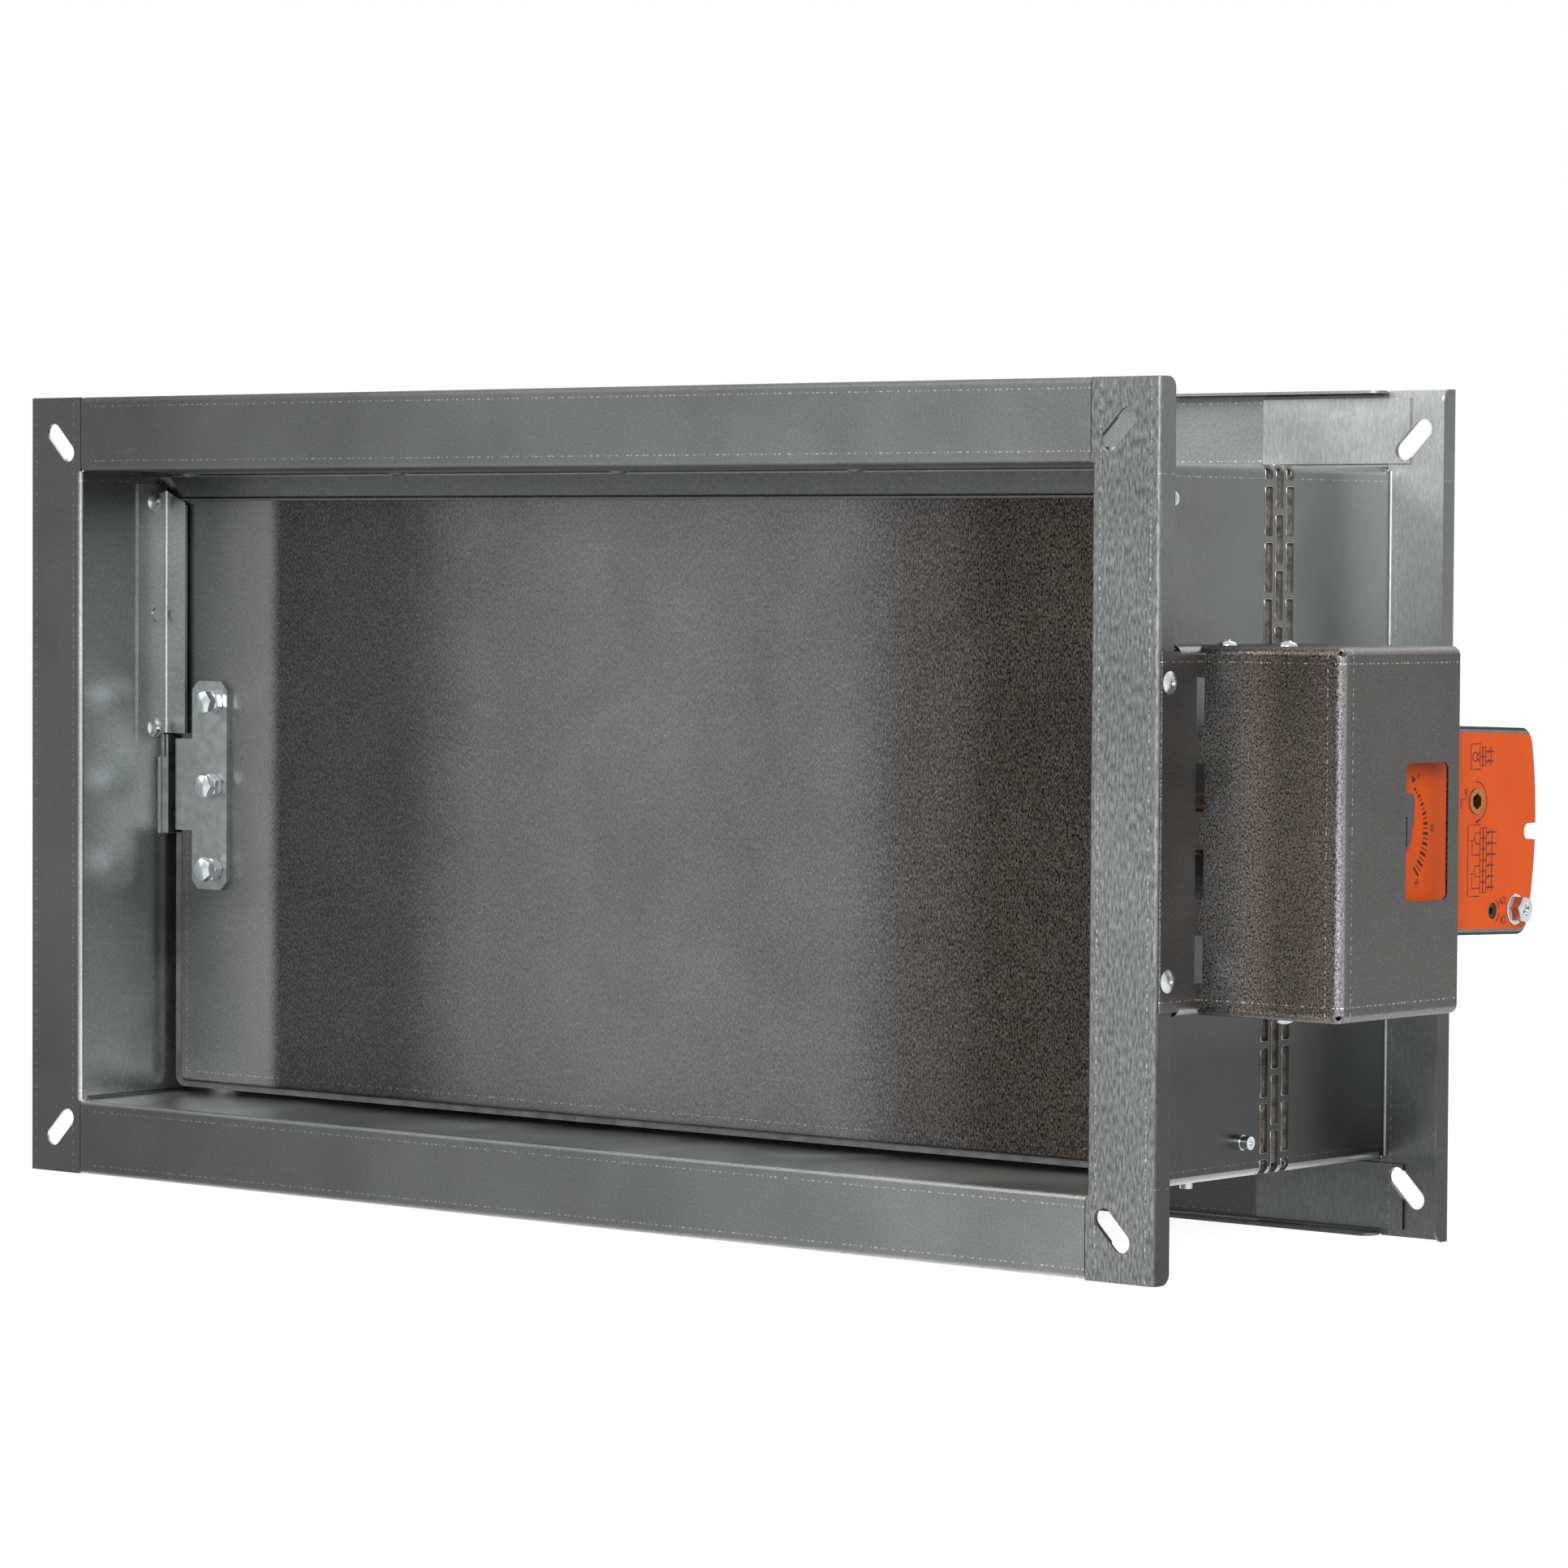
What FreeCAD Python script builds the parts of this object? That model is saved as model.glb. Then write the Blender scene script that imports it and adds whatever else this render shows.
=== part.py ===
import FreeCAD, Part
import math
import os

os.makedirs("parts", exist_ok=True)
Vector = FreeCAD.Vector

# Rectangular fire damper, closed. X runs across the duct, Y along the air from the front flange
# to the rear one, Z up. The origin is the middle of the duct opening in the front flange's face.

# Casing, folded from galvanised sheet
duct_width = 600.0
duct_height = 300.0
casing_length = 217.0
casing_sheet = 1.2
casing_bend = 1.3
flange_width = 35.0
lip_depth = 10.5
lip_end_radius = 5.0
flange_joint = 0.4
corner_bend = 2.0
corner_relief = 5.0
lap_length = 66.0
lap_overlap = 12.0
lap_clearance = 2.0
fixing_slot_length = 22.0
fixing_slot_width = 8.7
fixing_slot_edge = 21.5

# Three staggered rows of slots that break the heat path along the casing, and the strip behind them
break_from_pivot = 54.9
break_row_spacing = 7.8
break_slot_width = 5.0
break_slot_length = 21.0
break_web = 2.9
liner_thickness = 3.0
liner_margin = 2.5

# Blade: two shallow pans around a board, turning on an axis through its middle
blade_front_y = 57.0
blade_thickness = 40.0
blade_side_gap = 9.0
blade_end_gap = 6.5
pan_sheet = 1.0
pan_bend = 1.0
pan_rim = 12.0
seal_setback = 2.5
seal_width = 4.0
seal_reach_side = 5.0
seal_reach_end = 3.0
seal_corner = 6.0
seal_pivot_gap = 1.5
opening_angle = 90.0

# Stops that the closed blade rests against
stop_sheet = 1.0
stop_bend = 1.2
stop_gap = 0.5
stop_wall_leg = 19.5
stop_face = 16.0
stop_face_end = 13.5
stop_return = 3.0
stop_side_top = 5.5
stop_side_mitre = 7.5
stop_end_mitre = 15.0
stop_pivot_end = 24.6
stop_tail_end = 13.3
stop_rivet_y = 8.5
stop_rivet_top = 14.0
stop_rivet_low = 14.0
stop_rivet_count = 5
stop_clinch_radius = 3.6
stop_clinch_height = 0.6
stop_clinch_y = 6.6
stop_rivet_inset = 26.0

# Hinge plates on the blade, and the bolts through it
hinge_sheet = 2.5
hinge_bend = 1.0
hinge_edge_clearance = 0.3
hinge_plate_from_wall = 20.0
hinge_plate_width = 23.5
hinge_plate_height = 100.0
hinge_plate_chamfer = 4.0
hinge_tab_height = 44.0
clamp_sheet = 2.0
bolt_radius = 3.0
bolt_from_plate_end = 10.0
bolt_from_plate_edge = 8.0
drive_plate_width = 18.0
drive_bolt_from_wall_edge = 6.5
bolt_hole_clearance = 0.25
bolt_thread_clearance = 0.05
bolt_thread_past_nut = 2.0
hex_across_flats = 10.0
bolt_head_height = 4.0
nut_height = 5.0

# Shafts and their bearings
shaft_radius = 8.0
running_clearance = 0.05
bush_wall = 2.0
bush_fit = 0.05
bush_flange_radius = 13.0
bush_flange = 2.5
bush_setback = 0.4
bearing_base = 1.0
bearing_pad = 2.2
bearing_half_length = 22.2
bearing_half_height = 23.9
bearing_tongue = 2.8
bearing_tongue_gap = 0.4
bearing_rivet_y = 15.0
bearing_rivet_z = 12.5
washer_radius = 12.0
washer_clearance = 0.3
pin_past_bush = 6.0
ring_thickness = 1.0
ring_gap = 0.4
ring_groove_depth = 0.8
ring_radius = 11.0
ring_mouth = 6.0
drive_square = 12.0
drive_journal_past_bush = 14.0

# Blind rivets
rivet_radius = 2.4
rivet_head_radius = 4.75
rivet_head_height = 1.7
rivet_bulge_radius = 3.3
rivet_bulge_height = 2.4
rivet_tail_radius = 2.9
rivet_tail_height = 6.4
rivet_stem_radius = 1.4
rivet_stem_depth = 1.2
rivet_hole_clearance = 0.05
flush_head_radius = 3.6
flush_head_height = 0.9

# Drive cover on the right side
cover_sheet = 1.0
cover_edge_radius = 4.0
cover_front_y = 27.8
cover_rear_from_pivot = 35.7
cover_reach = 71.0
cover_height = 151.6
cover_rim = 14.0
cover_corner_hole = 2.6
flap_start = 1.4
flap_height = 147.0
flap_return_start = 14.0
flap_rivet_z = 60.7
flap_rivet_y = 6.5
bend_slot_length = 19.7
bend_slot_width = 2.9
bend_slot_pitch = 35.2
bend_slot_count = 4
window_before_pivot = 3.1
window_length = 30.8
window_height = 56.6
window_corner = 3.0
cover_screw_offsets = (6.0, 36.0)
cover_screw_radius = 2.0
cover_screw_head = 4.3
cover_screw_head_height = 2.2
cover_screw_length = 7.0
cover_lap = 18.0
cover_joint = 0.7
cover_bracket_sheet = 1.5
cover_bracket_foot = 24.0
cover_bracket_end_gap = 13.0

# Actuator
actuator_rear_from_pivot = 108.6
actuator_front_from_pivot = 43.5
actuator_end_radius = 168.0
actuator_height = 87.0
actuator_middle_z = 0.5
actuator_corner = 8.0
actuator_tilt = 1.9
actuator_back_gap = 10.0
actuator_plate = 3.0
actuator_face_setback = 7.0
front_cover_depth = 1.0
front_cover_inset = 1.2
label_inset = 1.2
label_thickness = 0.5
notch_z = -3.0
notch_height = 7.0
notch_depth = 10.7
hub_radius = 11.3
hub_clearance = 0.08
hub_square_clearance = 0.05
hub_past_plate = 1.5
hub_past_label = 0.9
clamp_thickness = 1.6
clamp_ring_radius = 9.6
clamp_width = 22.4
clamp_top = 15.5
clamp_bottom = 2.0
clamp_corner = 2.0
shaft_end_setback = 0.5
winding_from_pivot = 60.9
winding_z = 10.8
winding_radius = 5.3
winding_depth = 18.0
winding_hex = 6.0
winding_hex_depth = 9.0
winding_proud = 0.6
lock_from_winding = 13.5
lock_z = -35.5
lock_radius = 3.4
lock_depth = 14.0
lock_hex = 3.0
lock_hex_depth = 5.0
lock_sunk = 0.8
socket_clearance = 0.08
fixing_from_rear = 17.1
fixing_z = -35.5
fixing_flange_radius = 6.5
fixing_flange = 1.2
fixing_head = 5.0
fixing_recess = 3.0
fixing_recess_depth = 2.0
bracket_sheet = 2.0
bracket_bend = 2.0
bracket_before_bolt = 18.5
bracket_foot = 28.0
bracket_past_bolt = 19.5
bracket_low_z = -45.0
bracket_top_z = -5.0
bracket_rivet_from_end = 11.0
bracket_rivet_inset = 8.0
gland_x_from_back = 24.0
gland_before_pivot = 15.0
gland_hex = 16.0
gland_hex_height = 4.0
gland_radius = 6.5
gland_height = 13.0
gland_bore = 3.5

# Places that follow from the sizes above
half_width = duct_width / 2
half_height = duct_height / 2
outer_x = half_width + flange_width
outer_z = half_height + flange_width
wall_outside = half_width + casing_sheet
roof_outside = half_height + casing_sheet
pivot_y = blade_front_y + blade_thickness / 2
blade_rear_y = blade_front_y + blade_thickness
break_middle_y = pivot_y + break_from_pivot
blade_half_width = half_width - blade_side_gap
blade_half_height = half_height - blade_end_gap
stop_rear_y = blade_front_y - stop_gap
stop_front_y = stop_rear_y - stop_wall_leg
hinge_front_y = blade_front_y - hinge_sheet
hinge_leg_inside = blade_half_width + hinge_edge_clearance
hinge_leg_outside = hinge_leg_inside + hinge_sheet
hinge_plate_outer = half_width - hinge_plate_from_wall
hinge_plate_inner = hinge_plate_outer - hinge_plate_width
bolt_x = hinge_plate_inner + bolt_from_plate_edge
drive_plate_inner = hinge_plate_outer - drive_plate_width
drive_bolt_x = hinge_plate_outer - drive_bolt_from_wall_edge
bolt_columns = (-bolt_x, drive_bolt_x)
bolt_top = hinge_plate_height / 2 - bolt_from_plate_end
bolt_places = (-bolt_top, 0.0, bolt_top)
pad_face = half_width - bearing_base - bearing_pad
bush_radius = shaft_radius + running_clearance + bush_wall
bush_end = wall_outside + bush_flange
cover_x = outer_x + cover_reach
cover_rear_y = pivot_y + cover_rear_from_pivot
window_start_y = pivot_y - window_before_pivot
window_end_y = window_start_y + window_length
cover_half = cover_height / 2
actuator_back = outer_x + actuator_back_gap
label_face = cover_x - cover_sheet - actuator_face_setback
front_cover_face = label_face - label_thickness
front_cover_back = front_cover_face - front_cover_depth
actuator_rear_y = pivot_y + actuator_rear_from_pivot
actuator_front_y = pivot_y - actuator_front_from_pivot
winding_y = pivot_y + winding_from_pivot
lock_y = winding_y + lock_from_winding
fixing_y = actuator_rear_y - fixing_from_rear
bracket_start_y = fixing_y - bracket_before_bolt
bracket_end_y = fixing_y + bracket_past_bolt
bracket_rivet_y = bracket_start_y + bracket_foot - bracket_rivet_from_end
gland_y = pivot_y - gland_before_pivot
clamp_start = label_face + hub_past_label
clamp_end = clamp_start + clamp_thickness


# Plain shapes

def box(x1, x2, y1, y2, z1, z2):
    return Part.makeBox(x2 - x1, y2 - y1, z2 - z1, Vector(x1, y1, z1))


def rod_x(radius, x1, x2, y, z):
    return Part.makeCylinder(radius, x2 - x1, Vector(x1, y, z), Vector(1, 0, 0))


def rod_y(radius, y1, y2, x, z):
    return Part.makeCylinder(radius, y2 - y1, Vector(x, y1, z), Vector(0, 1, 0))


def rod_z(radius, z1, z2, x, y):
    return Part.makeCylinder(radius, z2 - z1, Vector(x, y, z1), Vector(0, 0, 1))


def hexagon(across_flats, length, base, direction, turned=False):
    # A hexagonal bar that starts at base and runs along direction
    reach = across_flats / math.sqrt(3)
    start = math.radians(30 if turned else 0)
    corners = []
    for step in range(7):
        angle = start + math.radians(60 * step)
        corners.append(Vector(reach * math.cos(angle), reach * math.sin(angle), 0))
    bar = Part.Face(Part.makePolygon(corners)).extrude(Vector(0, 0, length))
    bar.Placement = FreeCAD.Placement(base, FreeCAD.Rotation(Vector(0, 0, 1), direction))
    return bar


def rounded_box_x(x1, x2, y1, y2, z1, z2, radius):
    # A box whose four edges along X are rounded
    block = box(x1, x2, y1, y2, z1, z2)
    edges = []
    for edge in block.Edges:
        ends = edge.Vertexes
        if abs(ends[0].X - ends[1].X) > 1e-6:
            edges.append(edge)
    return block.makeFillet(radius, edges)


def mirrored_x(shape):
    return shape.mirror(Vector(0, 0, 0), Vector(1, 0, 0))


def mirrored_length(shape):
    return shape.mirror(Vector(0, casing_length / 2, 0), Vector(0, 1, 0))


def mirrored_z(shape):
    return shape.mirror(Vector(0, 0, 0), Vector(0, 0, 1))


def turned_over(shape):
    # Half a turn about the blade's axis: what holds the upper half in front holds the lower half behind
    turned = shape.copy()
    turned.rotate(Vector(0, pivot_y, 0), Vector(1, 0, 0), 180)
    return turned


def joined(shapes):
    whole = shapes[0]
    for other in shapes[1:]:
        whole = whole.fuse(other)
    return whole.removeSplitter()


def without(shape, cutters):
    return shape.cut(Part.makeCompound(cutters))


# Bent sheet

def place_xy(u, v):
    return Vector(u, v, 0)


def place_yz(u, v):
    return Vector(0, u, v)


def place_xz(u, v):
    return Vector(u, 0, v)


def direction_of(first, second):
    across = second[0] - first[0]
    along = second[1] - first[1]
    length = math.hypot(across, along)
    return across / length, along / length


def turn_of(before, after):
    return before[0] * after[1] - before[1] * after[0]


def other_face(points, shift):
    # The same folded line moved to its left by shift
    moved = []
    last = len(points) - 1
    for index, point in enumerate(points):
        before = direction_of(points[max(index - 1, 0)], points[max(index, 1)])
        after = direction_of(points[min(index, last - 1)], points[min(index + 1, last)])
        across = -(before[1] + after[1])
        along = before[0] + after[0]
        share = 1 + before[0] * after[0] + before[1] * after[1]
        moved.append((point[0] + shift * across / share, point[1] + shift * along / share))
    return moved


def bend_radii(points, inside, thickness, side):
    # Inside radius where the sheet's body is inside the bend, and the full radius where it is outside
    radii = []
    for index in range(1, len(points) - 1):
        before = direction_of(points[index - 1], points[index])
        after = direction_of(points[index], points[index + 1])
        outside = turn_of(before, after) * side > 0
        radii.append(inside + thickness if outside else inside)
    return radii


def folded_line(points, radii, place):
    edges = []
    last = points[0]
    for index in range(1, len(points) - 1):
        corner = points[index]
        before = direction_of(points[index - 1], corner)
        after = direction_of(corner, points[index + 1])
        half_turn = math.acos(max(-1.0, min(1.0, before[0] * after[0] + before[1] * after[1]))) / 2
        radius = radii[index - 1]
        tangent = radius * math.tan(half_turn)
        start = (corner[0] - before[0] * tangent, corner[1] - before[1] * tangent)
        end = (corner[0] + after[0] * tangent, corner[1] + after[1] * tangent)
        towards = direction_of(before, after)
        depth = radius / math.cos(half_turn) - radius
        middle = (corner[0] + towards[0] * depth, corner[1] + towards[1] * depth)
        edges.append(Part.LineSegment(place(*last), place(*start)).toShape())
        edges.append(Part.Arc(place(*start), place(*middle), place(*end)).toShape())
        last = end
    edges.append(Part.LineSegment(place(*last), place(*points[-1])).toShape())
    return edges


def folded_sheet(points, thickness, inside, side, place, start, length):
    # Sheet of one thickness folded along points. side is 1 where its body lies to the left of the
    # line and -1 where it lies to the right. start and length run along the fold.
    near = folded_line(points, bend_radii(points, inside, thickness, side), place)
    far_points = other_face(points, thickness * side)
    far_radii = bend_radii(points, inside, thickness, -side)
    far = folded_line(far_points[::-1], far_radii[::-1], place)
    first_cap = Part.LineSegment(place(*points[-1]), place(*far_points[-1])).toShape()
    last_cap = Part.LineSegment(place(*far_points[0]), place(*points[0])).toShape()
    face = Part.Face(Part.Wire(near + [first_cap] + far + [last_cap]))
    axis = place(1, 0).cross(place(0, 1))
    along = Vector(abs(axis.x), abs(axis.y), abs(axis.z))
    face.translate(along * start)
    return face.extrude(along * length)


# Casing

def corner_slot(x, z, angle, y1, y2):
    # A fixing slot through a flange corner, along the diagonal
    straight = fixing_slot_length - fixing_slot_width
    radius = fixing_slot_width / 2
    middle = box(-straight / 2, straight / 2, y1, y2, -radius, radius)
    ends = [rod_y(radius, y1, y2, -straight / 2, 0), rod_y(radius, y1, y2, straight / 2, 0)]
    slot = joined([middle] + ends)
    slot.rotate(Vector(0, 0, 0), Vector(0, 1, 0), angle)
    slot.translate(Vector(x, 0, z))
    return slot


def corner_slots(x_sign):
    cutters = []
    x = x_sign * (outer_x - fixing_slot_edge)
    for z_sign in (-1, 1):
        z = z_sign * (outer_z - fixing_slot_edge)
        angle = -45 * x_sign * z_sign
        cutters.append(corner_slot(x, z, angle, -1, lip_depth))
        cutters.append(corner_slot(x, z, angle, casing_length - lip_depth, casing_length + 1))
    return cutters


def slot_pitch():
    return break_slot_length + break_web


def side_slot_centres(shifted):
    # Heights of the slots on a side wall. The outer rows start half a pitch from the middle.
    centres = []
    first = 0.0 if shifted else slot_pitch() / 2
    centre = first
    while centre + break_slot_length / 2 < half_height - corner_bend:
        centres.append(centre)
        if centre > 0:
            centres.append(-centre)
        centre += slot_pitch()
    return centres


def wrap_start(shifted):
    # Height at which the slot that goes round the corner bend begins on the side wall
    highest = max(side_slot_centres(shifted))
    return highest + break_slot_length / 2 + break_web


def wrap_on_roof(shifted):
    # How far the same slot runs onto the roof, past the bend
    on_side = half_height - corner_bend - wrap_start(shifted)
    round_bend = (corner_bend + casing_sheet / 2) * math.pi / 2
    return max(break_slot_length - on_side - round_bend, 0.0)


def break_rows():
    return (
        (break_middle_y - break_row_spacing, False),
        (break_middle_y, True),
        (break_middle_y + break_row_spacing, False),
    )


def wrap_cutters(x_sign):
    cutters = []
    for row_y, shifted in break_rows():
        y1 = row_y - break_slot_width / 2
        reach = half_width - corner_bend - wrap_on_roof(shifted)
        for z_sign in (-1, 1):
            block = box(reach, wall_outside + 1, y1, y1 + break_slot_width,
                        wrap_start(shifted), roof_outside + 1)
            if x_sign < 0:
                block = mirrored_x(block)
            if z_sign < 0:
                block = mirrored_z(block)
            cutters.append(block)
    return cutters


def side_break_cutters():
    cutters = []
    for row_y, shifted in break_rows():
        y1 = row_y - break_slot_width / 2
        for centre in side_slot_centres(shifted):
            cutters.append(box(half_width - 1, wall_outside + 1, y1, y1 + break_slot_width,
                               centre - break_slot_length / 2, centre + break_slot_length / 2))
    return cutters


def roof_break_cutters():
    cutters = []
    for row_y, shifted in break_rows():
        y1 = row_y - break_slot_width / 2
        half_run = half_width - corner_bend - wrap_on_roof(shifted)
        count = max(int(round((2 * half_run - break_web) / slot_pitch())), 1)
        pitch = (2 * half_run - break_web) / count
        for index in range(count):
            x1 = -half_run + break_web + index * pitch
            cutters.append(box(x1, x1 + pitch - break_web, y1, y1 + break_slot_width,
                               half_height - 1, roof_outside + 1))
    return cutters


def lip_corner_cutter(x_sign):
    # Rounds the free corner of an upright lip at the top of the front flange
    radius = lip_end_radius
    block = box(outer_x - casing_sheet - 1, outer_x + 1, lip_depth - radius, lip_depth + 1,
                outer_z - radius, outer_z + 1)
    keep = rod_x(radius, outer_x - casing_sheet - 2, outer_x + 2,
                 lip_depth - radius, outer_z - radius)
    return block.cut(keep)


def side_panel_right():
    # A wall with a full-height flange leg at each end, the legs' lips and the lapping corner tabs
    line = [(outer_x, lip_depth), (outer_x, 0), (half_width, 0), (half_width, casing_length),
            (outer_x, casing_length), (outer_x, casing_length - lip_depth)]
    wall = folded_sheet(line, casing_sheet, casing_bend, -1, place_xy, -half_height, duct_height)
    pieces = [wall]
    leg_line = [(outer_x, lip_depth), (outer_x, 0), (half_width, 0)]
    leg = folded_sheet(leg_line, casing_sheet, casing_bend, -1, place_xy, half_height, flange_width)
    leg = leg.cut(lip_corner_cutter(1))
    tab = box(half_width - lap_length, half_width + lap_overlap, casing_sheet, 2 * casing_sheet,
              roof_outside + lap_clearance, outer_z - casing_sheet - lap_clearance)
    for piece in (leg, tab):
        pieces.append(piece)
        pieces.append(mirrored_z(piece))
        pieces.append(mirrored_length(piece))
        pieces.append(mirrored_z(mirrored_length(piece)))
    panel = joined(pieces)
    clear = box(half_width - 1, wall_outside + 1, corner_relief, casing_length - corner_relief,
                half_height - corner_bend, half_height + 1)
    cutters = [clear, mirrored_z(clear)]
    cutters += corner_slots(1)
    cutters += side_break_cutters()
    cutters += wrap_cutters(1)
    cutters.append(rod_x(bush_radius + bush_fit, half_width - 1, wall_outside + 1, pivot_y, 0))
    return without(panel, cutters)


def roof_lip_cutter():
    # Rounds the free corner of a level lip where it ends at the side wall
    radius = lip_end_radius
    block = box(half_width - radius, half_width + 1, lip_depth - radius, lip_depth + 1,
                outer_z - casing_sheet - 1, outer_z + 1)
    keep = rod_z(radius, outer_z - casing_sheet - 2, outer_z + 2,
                 half_width - radius, lip_depth - radius)
    return block.cut(keep)


def flange_joint_cutter():
    # The narrow open joint between a level flange leg and the upright one beside it
    start = half_width - flange_joint
    leg = box(start, half_width + 1, -1, corner_relief, half_height - 1, outer_z + 1)
    lip = box(start, half_width + 1, corner_relief - 1, lip_depth + 1, outer_z - casing_sheet - 1,
              outer_z + 1)
    return joined([leg, lip])


def roof_panel():
    # The top wall, its flange legs between the upright ones, and the rounded corners along Y
    line = [(lip_depth, outer_z), (0, outer_z), (0, half_height), (casing_length, half_height),
            (casing_length, outer_z), (casing_length - lip_depth, outer_z)]
    wall = folded_sheet(line, casing_sheet, casing_bend, 1, place_yz, -half_width, duct_width)
    clear = box(half_width - corner_bend, half_width + 1, corner_relief,
                casing_length - corner_relief, half_height - 1, roof_outside + 1)
    wall = without(wall, [clear, mirrored_x(clear)])
    centre_x = half_width - corner_bend
    centre_z = half_height - corner_bend
    run = (corner_relief, casing_length - corner_relief)
    ring = rod_y(corner_bend + casing_sheet, run[0], run[1], centre_x, centre_z)
    ring = ring.cut(rod_y(corner_bend, run[0] - 1, run[1] + 1, centre_x, centre_z))
    quarter = box(centre_x, wall_outside + 1, run[0], run[1], centre_z, roof_outside + 1)
    bend = ring.common(quarter)
    panel = joined([wall, bend, mirrored_x(bend)])
    cutters = []
    for cut in (roof_lip_cutter(), flange_joint_cutter()):
        cutters += [cut, mirrored_x(cut), mirrored_length(cut), mirrored_x(mirrored_length(cut))]
    cutters += roof_break_cutters()
    cutters += wrap_cutters(1) + wrap_cutters(-1)
    return without(panel, cutters)


def liner_span():
    half = break_row_spacing + break_slot_width / 2 + liner_margin
    return break_middle_y - half, break_middle_y + half


def side_liner():
    y1, y2 = liner_span()
    top = half_height - liner_thickness
    return box(half_width - liner_thickness, half_width, y1, y2, -top, top)


def roof_liner():
    y1, y2 = liner_span()
    end = half_width - corner_bend
    return box(-end, end, y1, y2, half_height - liner_thickness, half_height)


# Stops

def side_rivet_heights():
    low = stop_tail_end + stop_rivet_low
    high = half_height - stop_rivet_top
    return low, high


def end_rivet_places():
    half_run = half_width - stop_rivet_inset
    spacing = 2 * half_run / (stop_rivet_count - 1)
    return [-half_run + spacing * index for index in range(stop_rivet_count)]


def stop_rivet_line():
    return stop_rear_y - stop_rivet_y


def upper_side_stop():
    # The right one of the upper pair: a folded angle with a small return, mitred at the top and
    # cut back beside the pivot
    line = [(half_width, stop_front_y), (half_width, stop_rear_y),
            (half_width - stop_face, stop_rear_y),
            (half_width - stop_face, stop_rear_y - stop_return)]
    top = half_height - stop_side_top
    angle = folded_sheet(line, stop_sheet, stop_bend, 1, place_xy, stop_tail_end, top - stop_tail_end)
    clinch_z = sum(side_rivet_heights()) / 2
    clinch = rod_x(stop_clinch_radius, half_width - stop_sheet - stop_clinch_height,
                   half_width - stop_sheet, stop_rear_y - stop_clinch_y, clinch_z)
    angle = joined([angle, clinch])
    flat_end = stop_rear_y - stop_sheet - stop_bend
    below = box(half_width - stop_face - 1, half_width + 1, flat_end, stop_rear_y + 1,
                stop_tail_end - 1, stop_pivot_end)
    face_foot = box(half_width - stop_face - 1, half_width - stop_sheet, stop_front_y - 1,
                    stop_rear_y + 1, stop_tail_end - 1, stop_pivot_end)
    mitre_points = [Vector(half_width - stop_sheet, stop_front_y, top - 3.0),
                    Vector(half_width - stop_face - 1, stop_front_y, top - 3.0 - stop_side_mitre),
                    Vector(half_width - stop_face - 1, stop_front_y, top + 1),
                    Vector(half_width - stop_sheet, stop_front_y, top + 1)]
    mitre = Part.Face(Part.makePolygon(mitre_points + [mitre_points[0]]))
    mitre = mitre.extrude(Vector(0, stop_wall_leg + 1, 0))
    cutters = [below, face_foot, mitre]
    for z in side_rivet_heights():
        cutters.append(rod_x(rivet_radius + rivet_hole_clearance, half_width - 2 * stop_sheet,
                             half_width + 1, stop_rivet_line(), z))
    return without(angle, cutters)


def top_stop():
    # The same angle along the roof, with its ends mitred towards the side stops
    low = half_height - stop_face_end
    line = [(stop_front_y, half_height), (stop_rear_y, half_height), (stop_rear_y, low),
            (stop_rear_y - stop_return, low)]
    half_run = half_width - corner_bend - stop_gap
    angle = folded_sheet(line, stop_sheet, stop_bend, -1, place_yz, -half_run, 2 * half_run)
    roof_leg = half_height - stop_sheet
    points = [Vector(half_run + 1, stop_front_y, roof_leg), Vector(half_run, stop_front_y, roof_leg),
              Vector(half_width - stop_end_mitre, stop_front_y, low - 1),
              Vector(half_run + 1, stop_front_y, low - 1)]
    mitre = Part.Face(Part.makePolygon(points + [points[0]]))
    mitre = mitre.extrude(Vector(0, stop_wall_leg + 1, 0))
    cutters = [mitre, mirrored_x(mitre)]
    for x in end_rivet_places():
        cutters.append(rod_z(rivet_radius + rivet_hole_clearance, roof_leg - 1, half_height + 1,
                             x, stop_rivet_line()))
    return without(angle, cutters)


def blind_rivet(grip):
    # Head at the origin pointing up, shank and formed tail below it
    head_rise = rivet_head_height
    centre_drop = (rivet_head_radius ** 2 - head_rise ** 2) / (2 * head_rise)
    ball = Part.makeSphere(centre_drop + head_rise, Vector(0, 0, -centre_drop))
    head = ball.common(Part.makeCylinder(rivet_head_radius + 1, head_rise + 1))
    stem_head = Part.makeCylinder(rivet_stem_radius, head_rise + 1, Vector(0, 0, head_rise - stem_drop()))
    shank = Part.makeCylinder(rivet_radius, grip, Vector(0, 0, -grip))
    bulge = Part.makeCylinder(rivet_bulge_radius, rivet_bulge_height,
                              Vector(0, 0, -grip - rivet_bulge_height))
    end = -grip - rivet_tail_height
    tail = Part.makeCylinder(rivet_tail_radius, rivet_tail_height - rivet_bulge_height, Vector(0, 0, end))
    bore = Part.makeCylinder(rivet_stem_radius, rivet_stem_depth, Vector(0, 0, end))
    return joined([head, shank, bulge, tail]).cut(bore).cut(stem_head)


def stem_drop():
    # The broken stem ends a little below the top of the head
    return rivet_head_height / 2


def rivet_at(x, y, z, direction, grip):
    rivet = blind_rivet(grip)
    rivet.Placement = FreeCAD.Placement(Vector(x, y, z), FreeCAD.Rotation(Vector(0, 0, 1), direction))
    return rivet


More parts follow.
